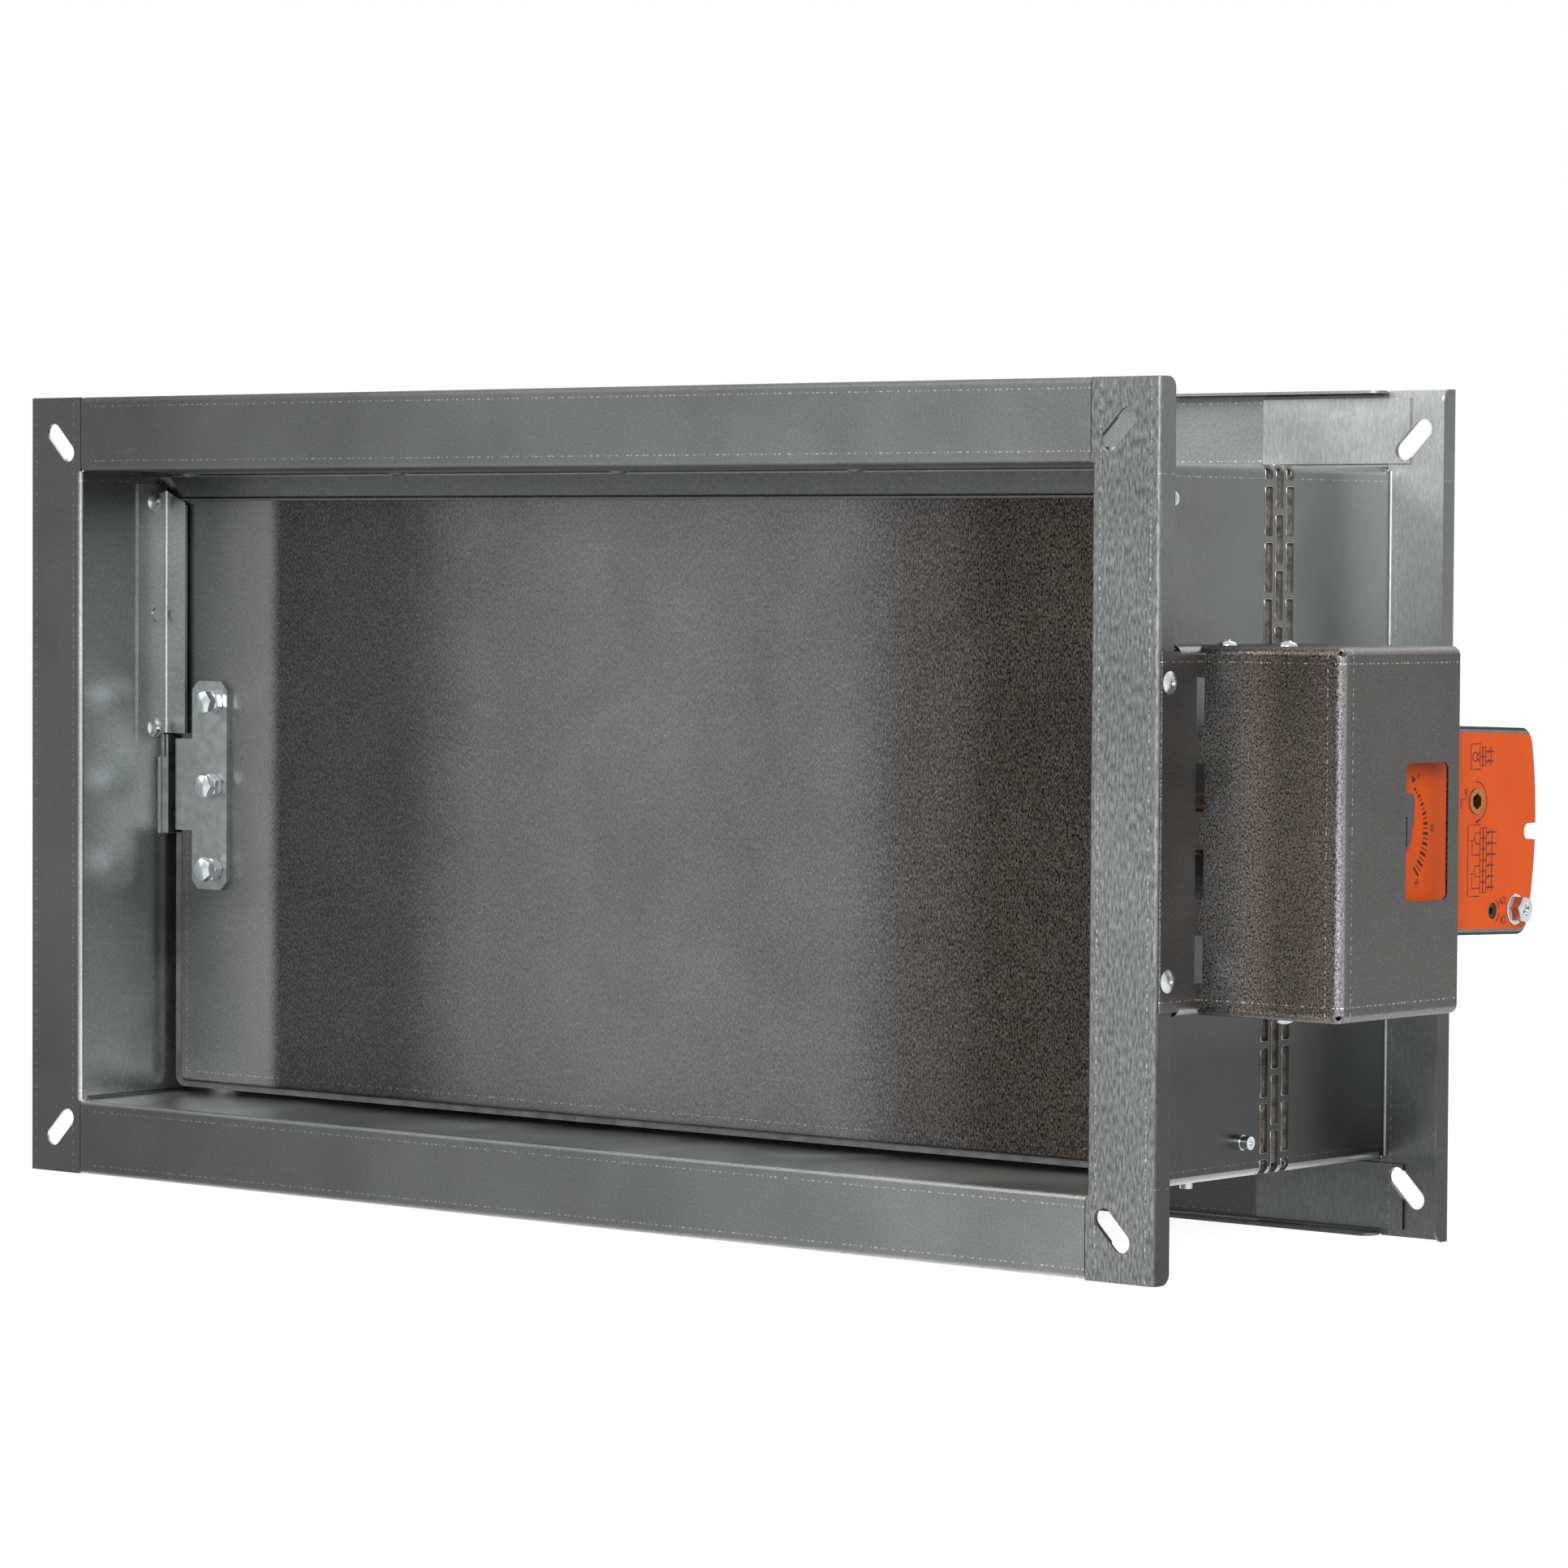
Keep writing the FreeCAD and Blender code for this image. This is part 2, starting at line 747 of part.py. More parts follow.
def stop_rivets():
    grip = stop_sheet + casing_sheet
    pieces = []
    for z in side_rivet_heights():
        right = rivet_at(half_width - stop_sheet, stop_rivet_line(), z, Vector(-1, 0, 0), grip)
        for rivet in (right, mirrored_x(right)):
            pieces.append(rivet)
            pieces.append(turned_over(rivet))
    for x in end_rivet_places():
        rivet = rivet_at(x, stop_rivet_line(), half_height - stop_sheet, Vector(0, 0, -1), grip)
        pieces.append(rivet)
        pieces.append(turned_over(rivet))
    return Part.makeCompound(pieces)


def wall_rivet_holes():
    # Holes in the right wall for the rivets of both side stops
    holes = []
    for z in side_rivet_heights():
        hole = rod_x(rivet_radius + rivet_hole_clearance, half_width - 1, wall_outside + 1,
                     stop_rivet_line(), z)
        holes.append(hole)
        holes.append(turned_over(hole))
    return holes


def roof_rivet_holes():
    holes = []
    for x in end_rivet_places():
        holes.append(rod_z(rivet_radius + rivet_hole_clearance, half_height - 1, roof_outside + 1,
                           x, stop_rivet_line()))
    return holes


# Bearings in the side walls

def bearing_plate():
    # Right side: a thin base with a tongue past each stop, and the thicker pad that holds the bush
    y1 = pivot_y - bearing_half_length
    y2 = pivot_y + bearing_half_length
    base = box(half_width - bearing_base, half_width, y1, y2, -bearing_half_height, bearing_half_height)
    tongue = box(half_width - bearing_base, half_width, y1 - bearing_tongue, y1,
                 -bearing_half_height, stop_tail_end - bearing_tongue_gap)
    pad = box(pad_face, half_width - bearing_base, y1, y2, -bearing_half_height, bearing_half_height)
    plate = joined([base, tongue, turned_over(tongue), pad])
    cutters = [rod_x(bush_radius + bush_fit, pad_face - 1, half_width + 1, pivot_y, 0)]
    for y, z in bearing_rivet_places():
        cutters.append(rod_x(rivet_radius + rivet_hole_clearance, pad_face - 1, half_width + 1, y, z))
        cutters.append(rod_x(flush_head_radius + rivet_hole_clearance, pad_face - 1,
                             pad_face + flush_head_height, y, z))
    return without(plate, cutters)


def bearing_rivet_places():
    return ((pivot_y - bearing_rivet_y, -bearing_rivet_z), (pivot_y + bearing_rivet_y, bearing_rivet_z))


def bearing_rivet_holes():
    holes = []
    for y, z in bearing_rivet_places():
        holes.append(rod_x(rivet_radius + rivet_hole_clearance, half_width - 1, wall_outside + 1, y, z))
    return holes


def bearing_rivets():
    pieces = []
    for y, z in bearing_rivet_places():
        head = rod_x(flush_head_radius, pad_face, pad_face + flush_head_height, y, z)
        shank = rod_x(rivet_radius, pad_face, wall_outside, y, z)
        tail = rod_x(rivet_bulge_radius, wall_outside, wall_outside + rivet_bulge_height, y, z)
        rivet = joined([head, shank, tail])
        pieces.append(rivet)
        pieces.append(mirrored_x(rivet))
    return Part.makeCompound(pieces)


def shaft_bush():
    sleeve = rod_x(bush_radius, pad_face + bush_setback, bush_end, pivot_y, 0)
    flange = rod_x(bush_flange_radius, wall_outside, bush_end, pivot_y, 0)
    bore = rod_x(shaft_radius + running_clearance, pad_face - 1, bush_end + 1, pivot_y, 0)
    return joined([sleeve, flange]).cut(bore)


# Blade

def pan(y_face, y_open, half_x, half_z, sheet, bend):
    # A shallow pan with its closed face at y_face
    outer = pan_block(y_face, y_open, half_x, half_z, bend + sheet)
    step = sheet if y_open > y_face else -sheet
    inner = pan_block(y_face + step, y_open + step, half_x - sheet, half_z - sheet, bend)
    return outer.cut(inner)


def pan_block(y_face, y_open, half_x, half_z, radius):
    low = min(y_face, y_open)
    high = max(y_face, y_open)
    block = box(-half_x, half_x, low, high, -half_z, half_z)
    edges = []
    for edge in block.Edges:
        ends = edge.Vertexes
        on_face = abs(ends[0].Y - y_face) < 1e-6 and abs(ends[1].Y - y_face) < 1e-6
        upright = abs(ends[0].Y - ends[1].Y) > 1e-6
        if on_face or upright:
            edges.append(edge)
    return block.makeFillet(radius, edges)


def blade_bolt_holes(y1, y2):
    holes = []
    for x in bolt_columns:
        for z in bolt_places:
            holes.append(rod_y(bolt_radius + bolt_hole_clearance, y1, y2, x, z))
    return holes


def blade_pan_front():
    shell = pan(blade_front_y, blade_front_y + pan_rim, blade_half_width, blade_half_height,
                pan_sheet, pan_bend)
    return without(shell, blade_bolt_holes(blade_front_y - 1, blade_front_y + pan_sheet + 1))


def blade_pan_rear():
    shell = pan(blade_rear_y, blade_rear_y - pan_rim, blade_half_width, blade_half_height,
                pan_sheet, pan_bend)
    return without(shell, blade_bolt_holes(blade_rear_y - pan_sheet - 1, blade_rear_y + 1))


def blade_core():
    half_x = blade_half_width - pan_sheet
    half_z = blade_half_height - pan_sheet
    front = blade_front_y + pan_sheet
    rear = blade_rear_y - pan_sheet
    board = box(-half_x, half_x, front, rear, -half_z, half_z)
    board = board.makeFillet(pan_bend, board.Edges)
    return without(board, blade_bolt_holes(front - 1, rear + 1))


def blade_seal():
    # A strip round the blade's edge, in an upper and a lower length with the pivots between them
    y1 = blade_front_y + seal_setback
    y2 = y1 + seal_width
    outer = rounded_frame(blade_half_width + seal_reach_side, blade_half_height + seal_reach_end,
                          seal_corner, y1, y2)
    inner = rounded_frame(blade_half_width, blade_half_height, pan_bend + pan_sheet, y1 - 1, y2 + 1)
    break_half = hinge_tab_height / 2 + seal_pivot_gap
    reach = blade_half_width + seal_reach_side + 1
    gap = box(-reach, reach, y1 - 1, y2 + 1, -break_half, break_half)
    return outer.cut(inner).cut(gap)


def rounded_frame(half_x, half_z, radius, y1, y2):
    block = box(-half_x, half_x, y1, y2, -half_z, half_z)
    edges = []
    for edge in block.Edges:
        ends = edge.Vertexes
        if abs(ends[0].Y - ends[1].Y) > 1e-6:
            edges.append(edge)
    return block.makeFillet(radius, edges)


def chamfered_plate(x1, x2, y1, y2, half_z, cut):
    points = [Vector(x1 + cut, y1, -half_z), Vector(x2 - cut, y1, -half_z),
              Vector(x2, y1, -half_z + cut), Vector(x2, y1, half_z - cut),
              Vector(x2 - cut, y1, half_z), Vector(x1 + cut, y1, half_z),
              Vector(x1, y1, half_z - cut), Vector(x1, y1, -half_z + cut)]
    face = Part.Face(Part.makePolygon(points + [points[0]]))
    return face.extrude(Vector(0, y2 - y1, 0))


def plate_bolt_holes(y1, y2, x):
    return [rod_y(bolt_radius + bolt_hole_clearance, y1, y2, x, z) for z in bolt_places]


def hinge_plate(inner, hole_x):
    # Right side: a plate on the blade's face with a tab folded back along the blade's edge, which
    # carries the shaft
    plate = chamfered_plate(inner, hinge_plate_outer, hinge_front_y, blade_front_y,
                            hinge_plate_height / 2, hinge_plate_chamfer)
    line = [(inner + hinge_plate_chamfer, hinge_front_y), (hinge_leg_outside, hinge_front_y),
            (hinge_leg_outside, blade_rear_y)]
    tab = folded_sheet(line, hinge_sheet, hinge_bend, 1, place_xy, -hinge_tab_height / 2,
                       hinge_tab_height)
    return without(joined([plate, tab]), plate_bolt_holes(hinge_front_y - 1, blade_front_y + 1, hole_x))


def clamp_plate(inner, hole_x):
    plate = chamfered_plate(inner, hinge_plate_outer, blade_rear_y, blade_rear_y + clamp_sheet,
                            hinge_plate_height / 2, hinge_plate_chamfer)
    return without(plate, plate_bolt_holes(blade_rear_y - 1, blade_rear_y + clamp_sheet + 1, hole_x))


def blade_bolts():
    pieces = []
    seat = hinge_front_y - nut_height
    end = blade_rear_y + clamp_sheet + nut_height + bolt_thread_past_nut
    for x in bolt_columns:
        for z in bolt_places:
            head = hexagon(hex_across_flats, bolt_head_height, Vector(x, seat - bolt_head_height, z),
                           Vector(0, 1, 0), True)
            shank = rod_y(bolt_radius, seat, end, x, z)
            pieces.append(joined([head, shank]))
    return Part.makeCompound(pieces)


def blade_nuts(start):
    pieces = []
    for x in bolt_columns:
        for z in bolt_places:
            nut = hexagon(hex_across_flats, nut_height, Vector(x, start, z), Vector(0, 1, 0), True)
            hole = rod_y(bolt_radius + bolt_thread_clearance, start - 1, start + nut_height + 1, x, z)
            pieces.append(nut.cut(hole))
    return Part.makeCompound(pieces)


def pivot_pin():
    # Left side, drawn on the right and mirrored: a stub welded to the hinge leg
    end = bush_end + pin_past_bush
    pin = rod_x(shaft_radius, hinge_leg_outside, end, pivot_y, 0)
    groove = bush_end + ring_gap
    ring = rod_x(shaft_radius + 1, groove, groove + ring_thickness, pivot_y, 0)
    ring = ring.cut(rod_x(shaft_radius - ring_groove_depth, groove, groove + ring_thickness, pivot_y, 0))
    return mirrored_x(pin.cut(ring))


def retaining_ring():
    start = bush_end + ring_gap
    ring = rod_x(ring_radius, start, start + ring_thickness, pivot_y, 0)
    bore = rod_x(shaft_radius - ring_groove_depth, start - 1, start + ring_thickness + 1, pivot_y, 0)
    mouth = box(start - 1, start + ring_thickness + 1, pivot_y, pivot_y + ring_radius + 1,
                -ring_mouth / 2, ring_mouth / 2)
    return mirrored_x(ring.cut(bore).cut(mouth))


def drive_shaft():
    # Right side: round where it runs in the bush, square from there into the actuator
    journal_end = bush_end + drive_journal_past_bush
    end = clamp_end - shaft_end_setback
    journal = rod_x(shaft_radius, hinge_leg_outside, journal_end, pivot_y, 0)
    half = drive_square / 2
    square = box(journal_end, end, pivot_y - half, pivot_y + half, -half, half)
    square = square.common(rod_x(shaft_radius, journal_end, end, pivot_y, 0))
    return joined([journal, square])


def thrust_washers():
    washer = rod_x(washer_radius, hinge_leg_outside, pad_face - washer_clearance, pivot_y, 0)
    washer = washer.cut(rod_x(shaft_radius + bush_fit, hinge_leg_outside - 1, pad_face + 1, pivot_y, 0))
    return Part.makeCompound([washer, mirrored_x(washer)])


# Drive cover

def cover_block(shrink):
    # The closed outside of the cover, or its inside when shrunk by the sheet
    x2 = cover_x - shrink
    y1 = cover_front_y + shrink
    half = cover_half - shrink
    block = box(outer_x - cover_rim, x2, y1, cover_rear_y + shrink, -half, half)
    edges = []
    for edge in block.Edges:
        ends = edge.Vertexes
        at_front = all(abs(end.Y - y1) < 1e-6 for end in ends)
        at_side = all(abs(end.X - x2) < 1e-6 for end in ends)
        level = abs(ends[0].Z - ends[1].Z) < 1e-6
        upright = not level
        if (level and (at_front or at_side)) or (upright and at_front and at_side):
            edges.append(edge)
    return block.makeFillet(cover_edge_radius - shrink, edges)


def flap_block(shrink):
    # The flap's own folded edges, between the flange and the front panel
    x2 = outer_x + cover_sheet - shrink
    half = cover_half - shrink
    block = box(outer_x - cover_rim, x2, flap_return_start, cover_front_y + cover_edge_radius,
                -half, half)
    edges = []
    for edge in block.Edges:
        ends = edge.Vertexes
        at_side = all(abs(end.X - x2) < 1e-6 for end in ends)
        level = abs(ends[0].Z - ends[1].Z) < 1e-6
        if at_side and level:
            edges.append(edge)
    return block.makeFillet(cover_edge_radius - shrink, edges)


def drive_cover():
    # One folded blank: a flap on the flange's lip, the front and side panels, and a roof and a floor
    # that lap over the front panel's returns
    inner_x = outer_x + cover_sheet
    corner_y = cover_front_y + cover_edge_radius
    inner_half = cover_half - cover_sheet
    beyond = cover_half + 1
    shell = cover_block(0).cut(cover_block(cover_sheet))
    shell = shell.cut(box(outer_x - cover_rim - 1, outer_x, cover_front_y - 1, corner_y, -beyond, beyond))
    returns = flap_block(0).cut(flap_block(cover_sheet))
    returns = returns.cut(box(outer_x - 1, inner_x + 1, cover_front_y + cover_sheet, corner_y + 1,
                              -inner_half, inner_half))
    half = flap_height / 2
    flap = box(outer_x, inner_x, flap_start, flap_return_start, -half, half)
    lap = box(inner_x, cover_x - cover_edge_radius, corner_y - cover_edge_radius / 3,
              cover_front_y + cover_lap, inner_half - cover_sheet, inner_half)
    cover = joined([shell, returns, flap, lap, mirrored_z(lap)])
    joint = box(inner_x + cover_joint, cover_x - cover_edge_radius - cover_joint,
                corner_y, corner_y + cover_joint, inner_half, beyond)
    cutters = [joint, mirrored_z(joint)]
    for z_sign in (-1, 1):
        cutters.append(Part.makeSphere(cover_corner_hole,
                                       Vector(cover_x - 1, cover_front_y + 1, z_sign * (cover_half - 1))))
    cutters.append(rounded_box_x(cover_x - cover_sheet - 1, cover_x + 1, window_start_y, window_end_y,
                                 -window_height / 2, window_height / 2, window_corner))
    for index in range(bend_slot_count):
        centre = (index - (bend_slot_count - 1) / 2) * bend_slot_pitch
        cutters.append(box(outer_x - 1, outer_x + bend_slot_width, cover_front_y - bend_slot_width,
                           cover_front_y + cover_sheet + 1, centre - bend_slot_length / 2,
                           centre + bend_slot_length / 2))
    for z in (-flap_rivet_z, flap_rivet_z):
        cutters.append(rod_x(rivet_radius + rivet_hole_clearance, outer_x - 1, inner_x + 1,
                             flap_rivet_y, z))
    cutters += cover_screw_holes()
    return without(cover, cutters)


def cover_screw_places():
    # Two on top and the outer one underneath
    y = bracket_arm_start() + bracket_arm_width() / 2
    near = outer_x + cover_screw_offsets[0]
    far = outer_x + cover_screw_offsets[1]
    return ((near, y, 1), (far, y, 1), (far, y, -1))


def cover_screw_holes():
    holes = []
    for x, y, side in cover_screw_places():
        hole = rod_z(cover_screw_radius + rivet_hole_clearance, cover_half - cover_screw_length,
                     cover_half + 1, x, y)
        holes.append(hole if side > 0 else mirrored_z(hole))
    return holes


def cover_screws():
    pieces = []
    for x, y, side in cover_screw_places():
        head_rise = cover_screw_head_height
        centre_drop = (cover_screw_head ** 2 - head_rise ** 2) / (2 * head_rise)
        ball = Part.makeSphere(centre_drop + head_rise, Vector(x, y, cover_half - centre_drop))
        head = ball.common(rod_z(cover_screw_head + 1, cover_half, cover_half + head_rise + 1, x, y))
        shank = rod_z(cover_screw_radius, cover_half - cover_screw_length, cover_half, x, y)
        screw = joined([head, shank])
        pieces.append(screw if side > 0 else mirrored_z(screw))
    return Part.makeCompound(pieces)


def flap_rivets():
    grip = cover_sheet + casing_sheet
    pieces = []
    for z in (-flap_rivet_z, flap_rivet_z):
        pieces.append(rivet_at(outer_x + cover_sheet, flap_rivet_y, z, Vector(1, 0, 0), grip))
    return Part.makeCompound(pieces)


def lip_rivet_holes():
    holes = []
    for z in (-flap_rivet_z, flap_rivet_z):
        holes.append(rod_x(rivet_radius + rivet_hole_clearance, outer_x - casing_sheet - 1, outer_x + 1,
                           flap_rivet_y, z))
    return holes


def bracket_arm_start():
    return cover_front_y + cover_edge_radius


def bracket_arm_width():
    return cover_lap - cover_edge_radius


def cover_bracket():
    # Upper one: a foot on the casing wall and an arm under the lapped edges of the cover
    arm_top = cover_half - 2 * cover_sheet
    line = [(wall_outside, arm_top - cover_bracket_foot), (wall_outside, arm_top),
            (cover_x - cover_bracket_end_gap, arm_top)]
    return folded_sheet(line, cover_bracket_sheet, cover_bracket_sheet, -1, place_xz,
                        bracket_arm_start(), bracket_arm_width())


# Actuator

def hung(shape):
    # Turned with the actuator, which sits slightly askew on the shaft
    shape.rotate(Vector(0, pivot_y, 0), Vector(1, 0, 0), -actuator_tilt)
    return shape


def actuator_outline(x1, x2, inset):
    # Flat above and below, with gently rounded ends and rounded corners
    radius = actuator_end_radius - inset
    half = actuator_height / 2 - inset
    rear = rod_x(radius, x1, x2, actuator_rear_y - actuator_end_radius, actuator_middle_z)
    front = rod_x(radius, x1, x2, actuator_front_y + actuator_end_radius, actuator_middle_z)
    slab = box(x1, x2, actuator_front_y - 1, actuator_rear_y + 1, actuator_middle_z - half,
               actuator_middle_z + half)
    body = slab.common(rear).common(front)
    edges = []
    for edge in body.Edges:
        ends = edge.Vertexes
        along_x = len(ends) == 2 and abs(ends[0].X - ends[1].X) > 1e-6
        at_corner = along_x and abs(abs(ends[0].Z - actuator_middle_z) - half) < 1e-6
        if at_corner:
            edges.append(edge)
    return hung(body.makeFillet(actuator_corner - inset, edges))


def notch_cutter(x1, x2):
    half = notch_height / 2
    end = actuator_rear_y - notch_depth + half
    return joined([box(x1, x2, end, actuator_rear_y + 1, notch_z - half, notch_z + half),
                   rod_x(half, x1, x2, end, notch_z)])


def actuator_cutters(x1, x2):
    cutters = [notch_cutter(x1, x2)]
    cutters.append(rod_x(hub_radius + hub_clearance, x1, x2, pivot_y, 0))
    cutters.append(rod_x(bolt_radius + bolt_hole_clearance, x1, x2, fixing_y, fixing_z))
    winding_floor = label_face - winding_depth
    if x2 > winding_floor:
        cutters.append(rod_x(winding_radius + socket_clearance, max(x1, winding_floor), x2,
                             winding_y, winding_z))
    lock_floor = label_face - lock_depth
    if x2 > lock_floor:
        cutters.append(rod_x(lock_radius + socket_clearance, max(x1, lock_floor), x2, lock_y, lock_z))
    return cutters


def actuator_base():
    return without(actuator_outline(actuator_back, actuator_back + actuator_plate, front_cover_inset),
                   actuator_cutters(actuator_back - 1, actuator_back + actuator_plate + 1))


def actuator_housing():
    body = actuator_outline(actuator_back + actuator_plate, front_cover_back, 0)
    return without(body, actuator_cutters(actuator_back + actuator_plate - 1, front_cover_back + 1))


def actuator_front_cover():
    body = actuator_outline(front_cover_back, front_cover_face, front_cover_inset)
    return without(body, actuator_cutters(front_cover_back - 1, front_cover_face + 1))


def actuator_label():
    body = actuator_outline(front_cover_face, label_face, front_cover_inset + label_inset)
    clear_bolt = rod_x(fixing_flange_radius + socket_clearance, front_cover_face - 1, label_face + 1,
                       fixing_y, fixing_z)
    return without(body, actuator_cutters(front_cover_face - 1, label_face + 1) + [clear_bolt])


def square_bore(x1, x2):
    half = drive_square / 2 + hub_square_clearance
    return box(x1, x2, pivot_y - half, pivot_y + half, -half, half)


def actuator_hub():
    sleeve = rod_x(hub_radius, actuator_back - hub_past_plate, clamp_start, pivot_y, 0)
    return sleeve.cut(square_bore(actuator_back - hub_past_plate - 1, clamp_start + 1))


def hub_clamp():
    # The clamp on the hub's outer end, read against the dial
    ring = rod_x(clamp_ring_radius, clamp_start, clamp_end, pivot_y, 0)
    block = rounded_box_x(clamp_start, clamp_end, pivot_y - clamp_width / 2, pivot_y + clamp_width / 2,
                          clamp_bottom, clamp_top, clamp_corner)
    return joined([ring, block]).cut(square_bore(clamp_start - 1, clamp_end + 1))


def winding_socket():
    start = label_face - winding_depth
    end = label_face + winding_proud
    body = rod_x(winding_radius, start + socket_clearance, end, winding_y, winding_z)
    hole = hexagon(winding_hex, winding_hex_depth + 1, Vector(end - winding_hex_depth, winding_y, winding_z),
                   Vector(1, 0, 0))
    return body.cut(hole)


def lock_socket():
    start = label_face - lock_depth
    end = label_face - lock_sunk
    body = rod_x(lock_radius, start + socket_clearance, end, lock_y, lock_z)
    hole = hexagon(lock_hex, lock_hex_depth + 1, Vector(end - lock_hex_depth, lock_y, lock_z),
                   Vector(1, 0, 0))
    return body.cut(hole)


def bracket_plate_back():
    return actuator_back - bracket_sheet


def fixing_bolt():
    seat = front_cover_face
    flange = rod_x(fixing_flange_radius, seat, seat + fixing_flange, fixing_y, fixing_z)
    head = hexagon(hex_across_flats, fixing_head, Vector(seat + fixing_flange, fixing_y, fixing_z),
                   Vector(1, 0, 0))
    top = seat + fixing_flange + fixing_head
    recess = rod_x(fixing_recess, top - fixing_recess_depth, top + 1, fixing_y, fixing_z)
    shank = rod_x(bolt_radius, bracket_plate_back() - nut_height - bolt_thread_past_nut, seat,
                  fixing_y, fixing_z)
    return joined([flange, head.cut(recess), shank])


def fixing_nut():
    start = bracket_plate_back() - nut_height
    nut = hexagon(hex_across_flats, nut_height, Vector(start, fixing_y, fixing_z), Vector(1, 0, 0))
    return nut.cut(rod_x(bolt_radius + bolt_thread_clearance, start - 1, start + nut_height + 1,
                         fixing_y, fixing_z))


def bracket_rivet_heights():
    return (bracket_low_z + bracket_rivet_inset, bracket_top_z - bracket_rivet_inset)


def actuator_bracket():
    # A folded foot, web and seat between the casing wall and the back of the actuator
    line = [(wall_outside, bracket_start_y + bracket_foot), (wall_outside, bracket_start_y),
            (actuator_back, bracket_start_y), (actuator_back, bracket_end_y)]
    bracket = folded_sheet(line, bracket_sheet, bracket_bend, 1, place_xy, bracket_low_z,
                           bracket_top_z - bracket_low_z)
    cutters = [rod_x(bolt_radius + bolt_hole_clearance, bracket_plate_back() - 1, actuator_back + 1,
                     fixing_y, fixing_z)]
    for z in bracket_rivet_heights():
        cutters.append(rod_x(rivet_radius + rivet_hole_clearance, wall_outside - 1,
                             wall_outside + bracket_sheet + 1, bracket_rivet_y, z))
    return without(bracket, cutters)


def bracket_rivets():
    pieces = []
    for z in bracket_rivet_heights():
        pieces.append(rivet_at(wall_outside + bracket_sheet, bracket_rivet_y, z, Vector(1, 0, 0),
                               bracket_sheet + casing_sheet))
    return Part.makeCompound(pieces)


def bracket_rivet_holes():
    holes = []
    for z in bracket_rivet_heights():
        holes.append(rod_x(rivet_radius + rivet_hole_clearance, half_width - 1, wall_outside + 1,
                           bracket_rivet_y, z))
    return holes


def cable_gland():
    # Pointing down from the underside of the housing, inside the drive cover
    x = actuator_back + gland_x_from_back
    top = actuator_middle_z - actuator_height / 2
    nut = hexagon(gland_hex, gland_hex_height, Vector(x, gland_y, top), Vector(0, 0, -1))
    body = rod_z(gland_radius, top - gland_height, top, x, gland_y)
    bore = rod_z(gland_bore, top - gland_height - 1, top + 1, x, gland_y)
    return hung(joined([nut, body]).cut(bore))


# Output

def write(name, shape):
    shape.exportStep("parts/" + name + ".step")


right_panel = side_panel_right()
stop_holes = wall_rivet_holes() + bearing_rivet_holes()
drive_side = without(right_panel, stop_holes + lip_rivet_holes() + bracket_rivet_holes())
plain_side = mirrored_x(without(right_panel, stop_holes))
roof = without(roof_panel(), roof_rivet_holes())
floor = without(mirrored_z(roof_panel()), [turned_over(hole) for hole in roof_rivet_holes()])
upper_stop = upper_side_stop()
long_stop = top_stop()
plate = bearing_plate()
bush = shaft_bush()
liner = side_liner()
ceiling_liner = roof_liner()
bracket = cover_bracket()

write("casing_right_panel", drive_side)
write("casing_left_panel", plain_side)
write("casing_top_panel", roof)
write("casing_bottom_panel", floor)
write("thermal_liner_right", liner)
write("thermal_liner_left", mirrored_x(liner))
write("thermal_liner_top", ceiling_liner)
write("thermal_liner_bottom", mirrored_z(ceiling_liner))
write("upper_stop_right", upper_stop)
write("upper_stop_left", mirrored_x(upper_stop))
write("lower_stop_right", turned_over(upper_stop))
write("lower_stop_left", turned_over(mirrored_x(upper_stop)))
write("top_stop", long_stop)
write("bottom_stop", turned_over(long_stop))
write("stop_rivets", stop_rivets())
write("bearing_plate_right", plate)
write("bearing_plate_left", mirrored_x(plate))
write("bearing_plate_rivets", bearing_rivets())
write("shaft_bush_right", bush)
write("shaft_bush_left", mirrored_x(bush))
write("blade_front_pan", blade_pan_front())
write("blade_rear_pan", blade_pan_rear())
write("blade_core", blade_core())
write("blade_edge_seal", blade_seal())
write("hinge_plate_right", hinge_plate(drive_plate_inner, drive_bolt_x))
write("hinge_plate_left", mirrored_x(hinge_plate(hinge_plate_inner, bolt_x)))
write("clamp_plate_right", clamp_plate(drive_plate_inner, drive_bolt_x))
write("clamp_plate_left", mirrored_x(clamp_plate(hinge_plate_inner, bolt_x)))
write("blade_bolts", blade_bolts())
write("blade_front_nuts", blade_nuts(hinge_front_y - nut_height))
write("blade_rear_nuts", blade_nuts(blade_rear_y + clamp_sheet))
write("pivot_pin", pivot_pin())
write("pivot_retaining_ring", retaining_ring())
write("drive_shaft", drive_shaft())
write("thrust_washers", thrust_washers())
write("drive_cover", drive_cover())
write("cover_flap_rivets", flap_rivets())
write("cover_screws", cover_screws())
write("cover_bracket_upper", without(bracket, cover_screw_holes()))
write("cover_bracket_lower", without(mirrored_z(bracket), cover_screw_holes()))
write("actuator_base", actuator_base())
write("actuator_housing", actuator_housing())
write("actuator_front_cover", actuator_front_cover())
write("actuator_label", actuator_label())
write("actuator_hub", actuator_hub())
write("hub_clamp", hub_clamp())
write("winding_socket", winding_socket())
write("spring_lock", lock_socket())
write("actuator_fixing_bolt", fixing_bolt())
write("actuator_fixing_nut", fixing_nut())
write("actuator_bracket", actuator_bracket())
write("bracket_rivets", bracket_rivets())
write("cable_gland", cable_gland())
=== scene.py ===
import bpy
import bmesh
import math
from mathutils import Matrix, Vector


